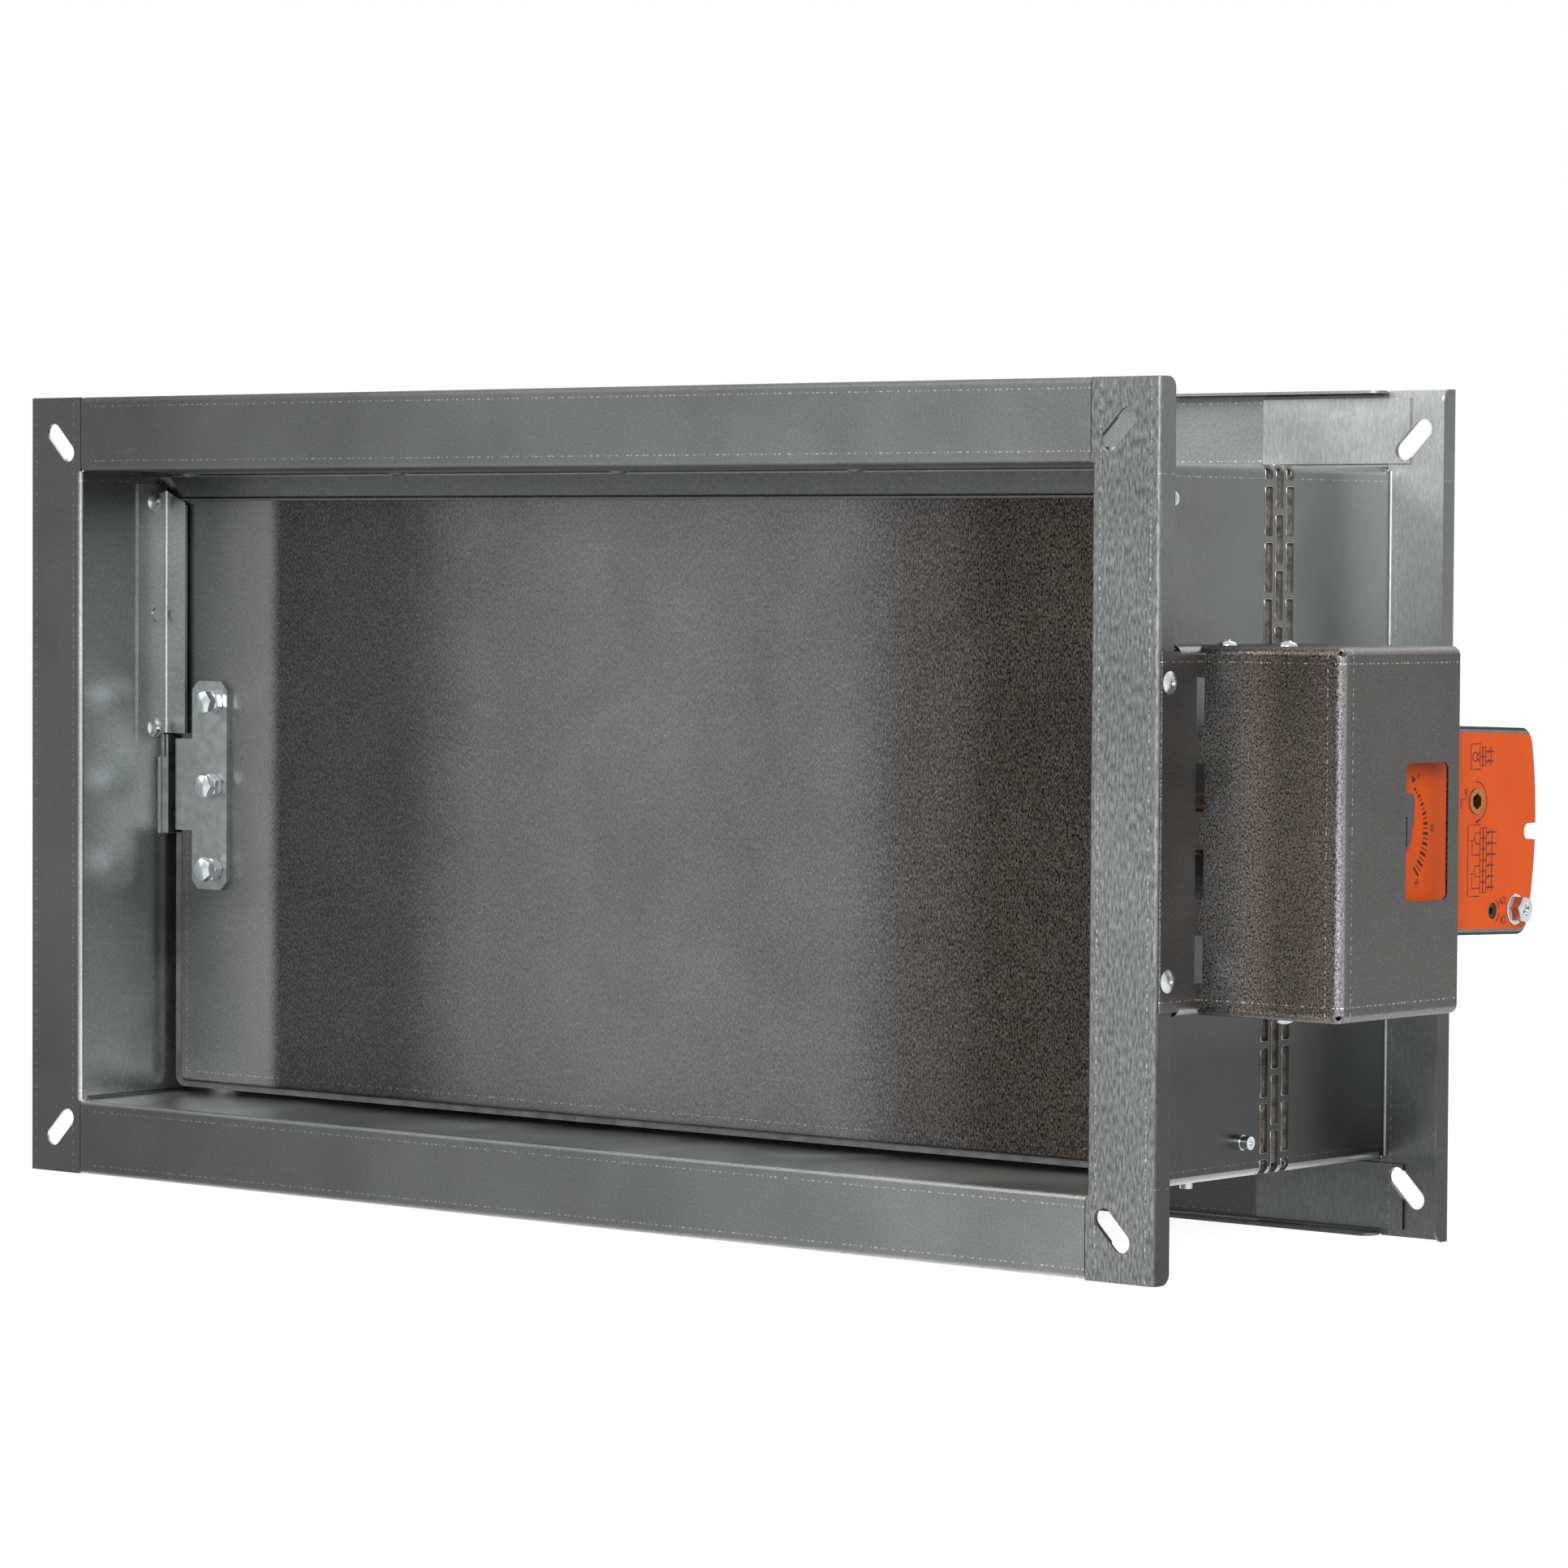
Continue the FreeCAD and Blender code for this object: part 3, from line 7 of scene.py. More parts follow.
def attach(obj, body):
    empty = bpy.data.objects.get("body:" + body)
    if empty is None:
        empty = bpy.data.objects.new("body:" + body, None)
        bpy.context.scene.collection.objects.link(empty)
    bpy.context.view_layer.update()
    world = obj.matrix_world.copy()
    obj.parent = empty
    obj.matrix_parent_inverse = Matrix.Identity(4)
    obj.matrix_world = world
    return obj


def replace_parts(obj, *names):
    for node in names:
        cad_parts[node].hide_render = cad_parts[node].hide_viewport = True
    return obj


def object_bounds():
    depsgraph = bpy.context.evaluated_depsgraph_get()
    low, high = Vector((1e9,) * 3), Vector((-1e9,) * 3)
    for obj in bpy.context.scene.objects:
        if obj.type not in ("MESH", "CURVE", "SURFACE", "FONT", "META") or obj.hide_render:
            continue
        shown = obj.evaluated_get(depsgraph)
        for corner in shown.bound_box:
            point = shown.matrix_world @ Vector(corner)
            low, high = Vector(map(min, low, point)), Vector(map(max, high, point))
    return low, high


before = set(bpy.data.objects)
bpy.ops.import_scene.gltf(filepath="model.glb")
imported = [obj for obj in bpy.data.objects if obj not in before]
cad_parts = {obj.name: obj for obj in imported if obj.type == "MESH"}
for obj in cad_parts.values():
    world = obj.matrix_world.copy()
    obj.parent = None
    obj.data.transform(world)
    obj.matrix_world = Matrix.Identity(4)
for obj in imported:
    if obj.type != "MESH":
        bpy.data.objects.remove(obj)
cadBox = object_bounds()
mm = 0.001
print("frame loaded:", len(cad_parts), "nodes")


# Helpers

def toLinear(code):
    # sRGB hex to the linear colour that the shaders take
    code = code.lstrip("#")
    colour = []
    for start in (0, 2, 4):
        value = int(code[start:start + 2], 16) / 255
        colour.append(value / 12.92 if value <= 0.04045 else ((value + 0.055) / 1.055) ** 2.4)
    return (colour[0], colour[1], colour[2], 1.0)


def addNode(tree, kind, links=None, values=None, **settings):
    node = tree.nodes.new(kind)
    for name, setting in settings.items():
        setattr(node, name, setting)
    for socket, value in (values or {}).items():
        node.inputs[socket].default_value = value
    for socket, source in (links or {}).items():
        tree.links.new(source, node.inputs[socket])
    return node


def newMaterial(name):
    material = bpy.data.materials.new(name)
    material.use_nodes = True
    tree = material.node_tree
    tree.nodes.clear()
    shader = addNode(tree, "ShaderNodeBsdfPrincipled")
    addNode(tree, "ShaderNodeOutputMaterial", links={"Surface": shader.outputs["BSDF"]})
    return material, tree, shader


def dress(material, *nodeNames):
    for name in nodeNames:
        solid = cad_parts[name]
        for slot in solid.material_slots:
            slot.material = material


def finishPiece(name, bm, material, body, smoothAngle=35):
    # Turns the mesh into an object that moves with a body
    bmesh.ops.recalc_face_normals(bm, faces=bm.faces[:])
    mesh = bpy.data.meshes.new(name)
    bm.to_mesh(mesh)
    bm.free()
    piece = bpy.data.objects.new(name, mesh)
    bpy.context.scene.collection.objects.link(piece)
    mesh.materials.append(material)
    mesh.polygons.foreach_set("use_smooth", [True] * len(mesh.polygons))
    mesh.set_sharp_from_angle(angle=math.radians(smoothAngle))
    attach(piece, body)
    return piece


def joinLoops(bm, pairs):
    # Side faces between each pair of loops of vertices
    for near, far in pairs:
        for index in range(len(near)):
            after = (index + 1) % len(near)
            bm.faces.new((near[index], near[after], far[after], far[index]))


def addRings(bm, rings):
    # A skin over rings that all have as many points, with its two ends closed
    loops = [[bm.verts.new(point) for point in ring] for ring in rings]
    joinLoops(bm, zip(loops, loops[1:]))
    bm.faces.new(loops[0][::-1])
    bm.faces.new(loops[-1])


# Camera, taken from the photograph's own perspective

viewpoint = {
    "place": (1.7077, -1.8737, 0.1093),
    "turnDegrees": 39.965,       # from straight ahead towards the actuator side
    "tiltDegrees": 2.232,        # looking down
    "rollDegrees": 0.325,
    "focalPixels": 7055.9,
    "imagePixels": 1932,
    "sensorMillimetres": 36.0,
    "clipMetres": (0.05, 60.0),
}


def placeCamera(view):
    turn = Matrix.Rotation(math.radians(view["turnDegrees"]), 3, "Y")
    tilt = Matrix.Rotation(math.radians(view["tiltDegrees"]), 3, "X")
    roll = Matrix.Rotation(math.radians(view["rollDegrees"]), 3, "Z")
    upright = Matrix(((1, 0, 0), (0, 0, -1), (0, 1, 0)))
    rows = roll @ tilt @ turn @ upright      # right, down and forward of the camera
    right, down, forward = rows[0], rows[1], rows[2]
    camera = bpy.data.objects.new("photoCamera", bpy.data.cameras.new("photoCamera"))
    bpy.context.scene.collection.objects.link(camera)
    camera.matrix_world = Matrix((
        (right.x, -down.x, -forward.x, view["place"][0]),
        (right.y, -down.y, -forward.y, view["place"][1]),
        (right.z, -down.z, -forward.z, view["place"][2]),
        (0, 0, 0, 1)))
    camera.data.sensor_width = view["sensorMillimetres"]
    camera.data.lens = view["focalPixels"] * view["sensorMillimetres"] / view["imagePixels"]
    camera.data.clip_start, camera.data.clip_end = view["clipMetres"]
    bpy.context.scene.camera = camera


placeCamera(viewpoint)
print("camera placed")


# Sheet metal

millimetre = 1000.0      # noise scale of a pattern one millimetre across


def multiplied(tree, factors):
    product = factors[0]
    for factor in factors[1:]:
        product = addNode(tree, "ShaderNodeMath", operation="MULTIPLY",
                          links={0: product, 1: factor}).outputs[0]
    return product


def sheetSteel(name, look):
    # Hot-dip galvanised steel sheet as it comes off the coil: small soft zinc grains with brighter
    # flecks, cloudy patches from rolling and handling, fine scuffs, and painted highlights on the
    # bends.
    # On top of that come painted light and shade by the way a face looks, painted shade and reflection
    # that drift along the sheet, and broad bands of painted reflection. Press marks are rows of dots
    # beside the bends.
    material, tree, shader = newMaterial(name)
    coordinates = addNode(tree, "ShaderNodeTexCoord").outputs
    axes = addNode(tree, "ShaderNodeSeparateXYZ", links={"Vector": coordinates["Object"]}).outputs
    # How far a face looks along X, Y and Z: three shares that add up to 1
    facing = addNode(tree, "ShaderNodeVectorMath", operation="MULTIPLY",
                     links={0: coordinates["Normal"], 1: coordinates["Normal"]}).outputs["Vector"]
    shares = addNode(tree, "ShaderNodeSeparateXYZ", links={"Vector": facing}).outputs
    weighed = {}
    # Painted light and shade: a tone gain for each way a face looks, weighed by its shares
    for kind in ("paintedLightByFacing", "grainFacing"):
        weighed[kind] = addNode(tree, "ShaderNodeVectorMath", operation="DOT_PRODUCT",
                                links={0: facing}, values={1: look[kind]}).outputs["Value"]
    straight = addNode(tree, "ShaderNodeVectorMath", operation="DOT_PRODUCT",
                       links={0: facing, 1: facing}).outputs["Value"]      # 1 but on bends
    noise = {}
    for kind in ("grain", "cloud", "scuff"):
        detail, roughness, distortion = look[kind + "Noise"]
        stretched = addNode(tree, "ShaderNodeMapping", links={"Vector": coordinates["Object"]},
                            values={"Scale": look[kind + "Stretch"]})
        noise[kind] = addNode(tree, "ShaderNodeTexNoise",
                              links={"Vector": stretched.outputs["Vector"]},
                              values={"Scale": millimetre / look[kind + "Size"], "Detail": detail,
                                      "Roughness": roughness, "Distortion": distortion})

    # Each level is (value that it follows, its range, what the range becomes)
    cloud, scuff, grain = (noise[kind].outputs["Fac"] for kind in ("cloud", "scuff", "grain"))
    depth = look["cloudDepth"]
    steps = {
        "cloud": (cloud, look["cloudRange"], (1 - depth, 1 + depth)),
        "roughness": (cloud, look["cloudRange"],
                      [look["roughness"] + spread for spread in look["roughnessSpread"]]),
        "scuff": (scuff, look["scuffRange"], (1.0, 1 + look["scuffDepth"])),
        "bends": (straight, look["bendRange"], (1.0, 1 + look["paintedBendHighlight"])),
        "grain": (grain, look["grainRange"], (-look["grainDepth"], look["grainDepth"])),
        "flecks": (grain, look["fleckRange"], (0.0, look["fleckDepth"])),
    }
    if "paintedReflectionBands" in look:
        steps["across"] = (axes["X"], [end * mm for end in look["bandEnds"]], (0.0, 1.0))
    if "grainAlong" in look:
        axis, start, end, low, high = look["grainAlong"]
        steps["along"] = (axes[axis], (start * mm, end * mm), (low, high))
    for index, (face, gain, ramps) in enumerate(look["places"]):
        for axis, start, full in ramps:
            steps[index, axis] = (axes[axis], (start * mm, full * mm), (0.0, 1.0))
    levels = {}
    for kind, (source, (low, high), (bottom, top)) in steps.items():
        levels[kind] = addNode(tree, "ShaderNodeMapRange", links={"Value": source},
                               values={"From Min": low, "From Max": high, "To Min": bottom,
                                       "To Max": top}).outputs["Result"]

    # Random cloud and scuff tones, then the painted light and shade by facing
    gains = [levels["cloud"], levels["scuff"], weighed["paintedLightByFacing"]]
    for index, (face, gain, ramps) in enumerate(look["places"]):
        # Painted shade and reflection: the tone drifts to this gain along the axes of its ramps
        drift = multiplied(tree, [levels[index, ramp[0]] for ramp in ramps] + [shares[face]])
        gains.append(addNode(tree, "ShaderNodeMath", operation="MULTIPLY_ADD", links={0: drift},
                             values={1: gain - 1, 2: 1.0}).outputs[0])
    # Painted highlight on the bends, where a face turns off the main axes
    gains.append(levels["bends"])

    flecked = addNode(tree, "ShaderNodeMath", operation="ADD",
                      links={0: levels["grain"], 1: levels["flecks"]}).outputs[0]
    grainShares = [flecked, weighed["grainFacing"]]
    if "paintedReflectionBands" in look:
        # Broad bands of painted reflection across the sheet, lighter, darker and warmer, with coarser
        # grain where they are darker
        ramp = addNode(tree, "ShaderNodeValToRGB", links={"Fac": levels["across"]})
        ramp.color_ramp.interpolation = "EASE"
        stops = ramp.color_ramp.elements
        for index, (position, level, warmth, coarse) in enumerate(look["paintedReflectionBands"]):
            stop = stops[index] if index < 2 else stops.new(position)      # a ramp starts with two
            stop.position = position
            stop.color = (level * (1 + warmth), level, level * (1 - warmth), coarse)
        grainShares.append(ramp.outputs["Alpha"])
    if "grainAlong" in look:
        grainShares.append(levels["along"])
    gains.append(addNode(tree, "ShaderNodeMath", operation="ADD",
                         links={0: multiplied(tree, grainShares)}, values={1: 1.0}).outputs[0])
    if look["marks"]:
        marks = pressMarks(tree, axes, shares, look["marks"], pressDots)
        gains.append(addNode(tree, "ShaderNodeMath", operation="MULTIPLY_ADD", links={0: marks},
                             values={1: look["markDepth"], 2: 1.0}).outputs[0])

    colour = addNode(tree, "ShaderNodeVectorMath", operation="SCALE",
                     links={"Scale": multiplied(tree, gains)},
                     values={0: toLinear(look["colour"])[:3]}).outputs["Vector"]
    # Painted reflection: the tone and warmth of the bands
    if "paintedReflectionBands" in look:
        colour = addNode(tree, "ShaderNodeVectorMath", operation="MULTIPLY",
                         links={0: colour, 1: ramp.outputs["Color"]}).outputs["Vector"]
    bump = addNode(tree, "ShaderNodeBump", links={"Height": grain},
                   values={"Strength": look["bump"], "Distance": look["bumpHeight"] * mm})
    shader.inputs["Metallic"].default_value = 1.0
    tree.links.new(colour, shader.inputs["Base Color"])
    tree.links.new(levels["roughness"], shader.inputs["Roughness"])
    tree.links.new(bump.outputs["Normal"], shader.inputs["Normal"])
    return material


pressDots = {"halfWidth": 0.26, "perMetre": 520.0, "detail": 1.0, "range": (0.50, 0.62)}


def pressMarks(tree, axes, shares, lines, dots):
    # Rows of bright dots that the folding machine leaves. Each line is (axis across it, distance from
    # the middle in mm, axis along it, axis that its face looks along).
    total = None
    for across, distance, along, face in lines:
        away = addNode(tree, "ShaderNodeMath", operation="ABSOLUTE", links={0: axes[across]})
        near = addNode(tree, "ShaderNodeMath", operation="COMPARE", links={0: away.outputs[0]},
                       values={1: distance * mm, 2: dots["halfWidth"] * mm})
        pattern = addNode(tree, "ShaderNodeTexNoise", noise_dimensions="1D", links={"W": axes[along]},
                          values={"Scale": dots["perMetre"], "Detail": dots["detail"]})
        dotted = addNode(tree, "ShaderNodeMapRange", links={"Value": pattern.outputs["Fac"]},
                         values={"From Min": dots["range"][0], "From Max": dots["range"][1]})
        row = multiplied(tree, [near.outputs[0], dotted.outputs["Result"], shares[face]])
        if total is None:
            total = row
        else:
            total = addNode(tree, "ShaderNodeMath", operation="MAXIMUM",
                            links={0: total, 1: row}).outputs[0]
    return total


# Sizes in mm. A noise is (detail, roughness, distortion). A place is painted shade or reflection:
# (axis that its faces look along, gain that the tone drifts to, ramps), and a ramp (axis along it,
# where it starts, where it is full). A band is painted reflection across the sheet: (position, tone,
# warmth, grain), the two outer ones first; its tone and warmth are painted, its grain is real grain.
# The gains by facing paint light and shade, and the bend highlight is painted on the bends.
sheetLook = {
    "colour": "#757776", "roughness": 0.36, "roughnessSpread": (-0.05, 0.07),
    "bump": 0.10, "bumpHeight": 0.2,
    "grainSize": 1.1, "grainStretch": (1.0, 1.0, 1.0), "grainNoise": (2.5, 0.6, 0.0),
    "grainDepth": 0.10, "grainRange": (0.36, 0.64), "grainFacing": (1.0, 1.0, 1.0),
    "fleckDepth": 0.10, "fleckRange": (0.60, 0.72),
    "cloudSize": 55.0, "cloudStretch": (1.0, 1.0, 1.0), "cloudNoise": (3.0, 0.5, 0.4),
    "cloudDepth": 0.10, "cloudRange": (0.3, 0.7),
    "scuffSize": 9.0, "scuffStretch": (0.25, 1.0, 1.0), "scuffNoise": (5.0, 0.7, 0.0),
    "scuffDepth": 0.25, "scuffRange": (0.62, 0.78),
    "paintedLightByFacing": (1.0, 1.0, 1.0), "places": (), "paintedBendHighlight": 0.35, "bendRange": (0.97, 0.75),
    "marks": (), "markDepth": 1.3,
}

# Upright sheets, marked beside the bends of the flanges and of the walls' top and foot
uprightMarks = (("X", 304.8, "Z", "Y"), ("X", 330.4, "Z", "Y"), ("Z", 145.4, "Y", "X"))
# Painted reflection: faces that look along Y grow lighter towards the back
rearPaintedReflection = ("Y", 2.3, (("Y", 100.0, 190.0),))
# Painted reflection and shade: faces that look along X lighter and along Y darker, the wall darker
# towards its top and lighter towards its foot, and faces that look along Y darker towards the foot
leftSheet = sheetSteel("galvanisedSheetLeft", {
    **sheetLook, "marks": uprightMarks, "paintedLightByFacing": (2.3, 0.50, 1.0), "roughness": 0.26,
    "places": (("X", 0.5, (("Z", 60.0, 150.0),)), ("X", 1.8, (("Z", -60.0, -150.0),)), rearPaintedReflection,
               ("Y", 0.76, (("Z", -50.0, -130.0),)))})
# Painted reflection and shade: the wall darker towards its foot, faces that look along Y much lighter
# towards the back and darker again at the back's foot, and no bend highlight
rightSheet = sheetSteel("galvanisedSheetRight", {
    **sheetLook, "marks": uprightMarks, "paintedLightByFacing": (0.95, 1.1, 1.0), "paintedBendHighlight": 0.0,
    "grainSize": 1.0, "grainStretch": (1.0, 1.0, 0.25), "grainDepth": 0.40,
    "grainFacing": (0.2, 1.0, 0.2), "grainAlong": ("Y", 40.0, 120.0, 1.0, 0.25),
    "places": (("X", 0.38, (("Z", 0.0, -100.0),)), ("Y", 3.5, (("Y", 100.0, 190.0),)),
               ("Y", 0.2, (("Y", 100.0, 190.0), ("Z", -105.0, -150.0))))})
# Painted reflection: bands darker at the left and lighter at the right across the top and bottom
# sheets
levelLook = {
    **sheetLook, "marks": (("Z", 154.8, "X", "Y"), ("Z", 180.6, "X", "Y"), ("X", 295.4, "Y", "Z")),
    "paintedBendHighlight": 0.05, "bandEnds": (-300.0, 300.0),
    "paintedReflectionBands": ((0.0, 0.50, 0.0, 1.0), (1.0, 1.12, 0.0, 1.0), (0.25, 0.72, 0.0, 1.0),
              (0.5, 0.98, 0.0, 1.0))}
# Painted light and shade by facing: faces that look along Y a little darker, along Z a little lighter
topSheet = sheetSteel("galvanisedSheetTop", {
    **levelLook, "paintedLightByFacing": (1.0, 0.90, 1.1), "roughness": 0.5, "places": (rearPaintedReflection,)})
# Painted light, shade and reflection: faces that look along Z much lighter and along Y darker, faces
# that look along Y darker towards the back, and faces that look along Z lighter towards the left and
# darker towards the right
bottomSheet = sheetSteel("galvanisedSheetBottom", {
    **levelLook, "paintedLightByFacing": (1.0, 0.74, 2.7),
    "paintedReflectionBands": ((0.0, 0.52, 0.0, 1.0), (1.0, 1.60, 0.0, 1.0), (0.25, 0.72, 0.0, 1.0),
              (0.5, 0.98, 0.0, 1.0)),
    "places": (("Y", 0.4, (("Y", 100.0, 190.0),)), ("Z", 1.9, (("X", -60.0, -300.0),)),
               ("Z", 0.78, (("X", 60.0, 240.0),)))})
dress(leftSheet, "casing_left_panel")
dress(rightSheet, "casing_right_panel")
dress(topSheet, "casing_top_panel")
dress(bottomSheet, "casing_bottom_panel")

# Painted light and shade by facing: faces that look along X and Y lighter, along Z darker, with a
# painted highlight on the bends
stopSheet = sheetSteel("galvanisedSheetStops", {
    **sheetLook, "colour": "#8d908f", "roughness": 0.34, "paintedLightByFacing": (1.4, 1.15, 0.9),
    "paintedBendHighlight": 0.2})
dress(stopSheet, "upper_stop_left", "upper_stop_right", "lower_stop_left", "lower_stop_right")
endStopSheet = sheetSteel("galvanisedSheetEndStops", {**sheetLook, "colour": "#5f6060"})
dress(endStopSheet, "top_stop", "bottom_stop")

# The blade's front pan has broad bands of painted reflection, bright and smooth or dark and coarse,
# warmer in the dark bands at the right, and its faces that look along Y a little darker
panLook = {
    **sheetLook, "colour": "#707071", "grainDepth": 1.0, "fleckDepth": 0.8, "grainSize": 0.68,
    "grainStretch": (1.2, 1.0, 0.5), "paintedLightByFacing": (1.0, 0.93, 1.0),
    "marks": (("X", 286.0, "Z", "Y"), ("Z", 138.5, "X", "Y"))}
frontPanSheet = sheetSteel("galvanisedSheetBladeFront", {
    **panLook, "bandEnds": (-291.0, 291.0),
    "paintedReflectionBands": ((0.0, 0.78, 0.0, 0.16), (1.0, 0.27, 0.15, 1.0), (0.102, 1.22, 0.0, 0.14),
              (0.118, 0.33, 0.01, 0.55), (0.24, 0.36, 0.0, 0.5), (0.35, 0.82, 0.0, 0.28),
              (0.46, 0.97, 0.0, 0.22), (0.70, 0.93, 0.0, 0.28), (0.79, 0.48, 0.06, 0.7),
              (0.86, 0.27, 0.14, 1.0))})
rearPanSheet = sheetSteel("galvanisedSheetBladeRear", {
    **panLook, "grainDepth": 0.25, "fleckDepth": 0.15})
dress(frontPanSheet, "blade_front_pan")
dress(rearPanSheet, "blade_rear_pan")

# Painted light, shade and reflection: tone gains by facing, a strong painted highlight on the bends,
# the front face lighter towards both ends and darker towards the top, the side face lighter towards
# the front, and bands of painted warm reflection across the front
coverSheet = sheetSteel("galvanisedSheetCover", {
    **sheetLook, "colour": "#656463", "paintedLightByFacing": (0.75, 0.47, 0.45), "paintedBendHighlight": 1.1,
    "grainDepth": 0.85, "fleckDepth": 0.6, "grainSize": 0.66, "grainFacing": (0.25, 1.0, 0.4),
    "grainStretch": (1.0, 1.0, 0.7), "markDepth": 3.0,
    "places": (("Y", 2.6, (("X", 375.0, 345.0),)), ("Y", 1.28, (("X", 385.0, 404.0),)),
               ("X", 1.7, (("Y", 34.0, 26.0),)), ("Y", 0.78, (("Z", 35.0, 76.0),))),
    "bandEnds": (335.0, 406.0),
    "paintedReflectionBands": ((0.0, 1.0, 0.0, 1.0), (1.0, 1.0, 0.0, 1.0), (0.2, 1.0, 0.0, 1.0),
              (0.42, 1.0, 0.12, 1.0), (0.93, 1.0, 0.12, 1.0), (0.985, 1.0, 0.0, 1.0)),
    "marks": (("Z", 69.2, "X", "Y"), ("Z", 69.2, "Y", "X"), ("X", 398.6, "Z", "Y"),
              ("Y", 35.2, "Z", "X"))})
dress(coverSheet, "drive_cover")

bracketSheet = sheetSteel("galvanisedSheetBrackets", {**sheetLook, "colour": "#6a6c6b"})
dress(bracketSheet, "cover_bracket_upper", "cover_bracket_lower", "actuator_bracket")
print("sheet metal dressed")


# Turned, plated and moulded materials

def platedMetal(name, look):
    # Metal with a thin plated or turned surface: even colour with faint haze and fine scratches
    material, tree, shader = newMaterial(name)
    place = addNode(tree, "ShaderNodeTexCoord").outputs["Object"]
    haze = addNode(tree, "ShaderNodeTexNoise", links={"Vector": place},
                   values={"Scale": millimetre / look["hazeSize"], "Detail": 3.0})
    stretched = addNode(tree, "ShaderNodeMapping", links={"Vector": place},
                        values={"Scale": look["scratchStretch"]})
    scratch = addNode(tree, "ShaderNodeTexNoise", links={"Vector": stretched.outputs["Vector"]},
                      values={"Scale": millimetre / look["scratchSize"], "Detail": 4.0})
    low, high = look["hazeRange"]
    hazeStep = addNode(tree, "ShaderNodeMapRange", links={"Value": haze.outputs["Fac"]},
                       values={"From Min": low, "From Max": high, "To Min": 1 - look["hazeDepth"],
                               "To Max": 1 + look["hazeDepth"]})
    colour = addNode(tree, "ShaderNodeVectorMath", operation="SCALE",
                     links={"Scale": hazeStep.outputs["Result"]},
                     values={0: toLinear(look["colour"])[:3]})
    low, high = look["scratchRange"]
    smoother, rougher = look["roughnessSpread"]
    roughness = addNode(tree, "ShaderNodeMapRange", links={"Value": scratch.outputs["Fac"]},
                        values={"From Min": low, "From Max": high,
                                "To Min": look["roughness"] + smoother,
                                "To Max": look["roughness"] + rougher})
    bump = addNode(tree, "ShaderNodeBump", links={"Height": scratch.outputs["Fac"]},
                   values={"Strength": look["bump"], "Distance": look["bumpHeight"] * mm})
    shader.inputs["Metallic"].default_value = 1.0
    tree.links.new(colour.outputs["Vector"], shader.inputs["Base Color"])
    tree.links.new(roughness.outputs["Result"], shader.inputs["Roughness"])
    tree.links.new(bump.outputs["Normal"], shader.inputs["Normal"])
    return material


platedLook = {
    "hazeSize": 6.0, "hazeDepth": 0.14, "hazeRange": (0.3, 0.7),
    "scratchSize": 1.0, "scratchStretch": (1.0, 1.0, 0.3), "scratchRange": (0.35, 0.65),
    "roughnessSpread": (-0.06, 0.08), "bump": 0.12, "bumpHeight": 0.1,
}
zincPlate = platedMetal("zincPlatedPlate", {**platedLook, "colour": "#9a9e9d", "roughness": 0.34})
zincFastener = platedMetal("zincPlatedFastener", {
    **platedLook, "colour": "#c3c8cb", "roughness": 0.17})
rivetMetal = platedMetal("brightRivetAluminium", {
    **platedLook, "colour": "#c9cccd", "roughness": 0.27})
turnedSteel = platedMetal("turnedShaftSteel", {
    **platedLook, "colour": "#8b8d8e", "roughness": 0.30, "scratchStretch": (4.0, 0.2, 0.2)})
sinteredBronze = platedMetal("sinteredBronze", {
    **platedLook, "colour": "#a5764a", "roughness": 0.38, "hazeSize": 1.5, "hazeDepth": 0.22})
dieCast = platedMetal("dieCastClamp", {
    **platedLook, "colour": "#5c5b5f", "roughness": 0.45, "hazeSize": 1.2})
rimMetal = platedMetal("actuatorRimMetal", {**platedLook, "colour": "#777a7b", "roughness": 0.42})
dress(zincPlate, "hinge_plate_right", "hinge_plate_left", "clamp_plate_right", "clamp_plate_left",
      "bearing_plate_right", "bearing_plate_left")
dress(zincFastener, "blade_bolts", "blade_front_nuts", "blade_rear_nuts", "cover_screws",
      "actuator_fixing_bolt", "actuator_fixing_nut", "thrust_washers", "pivot_retaining_ring")
dress(rivetMetal, "stop_rivets", "bearing_plate_rivets", "cover_flap_rivets", "bracket_rivets")
dress(turnedSteel, "pivot_pin", "drive_shaft")
dress(sinteredBronze, "shaft_bush_left", "shaft_bush_right", "winding_socket")
dress(dieCast, "hub_clamp")
dress(rimMetal, "actuator_base", "actuator_front_cover")


mouldedBlend = {"grainShare": 0.7, "range": (0.6, 1.1), "bumpHeight": 0.3}


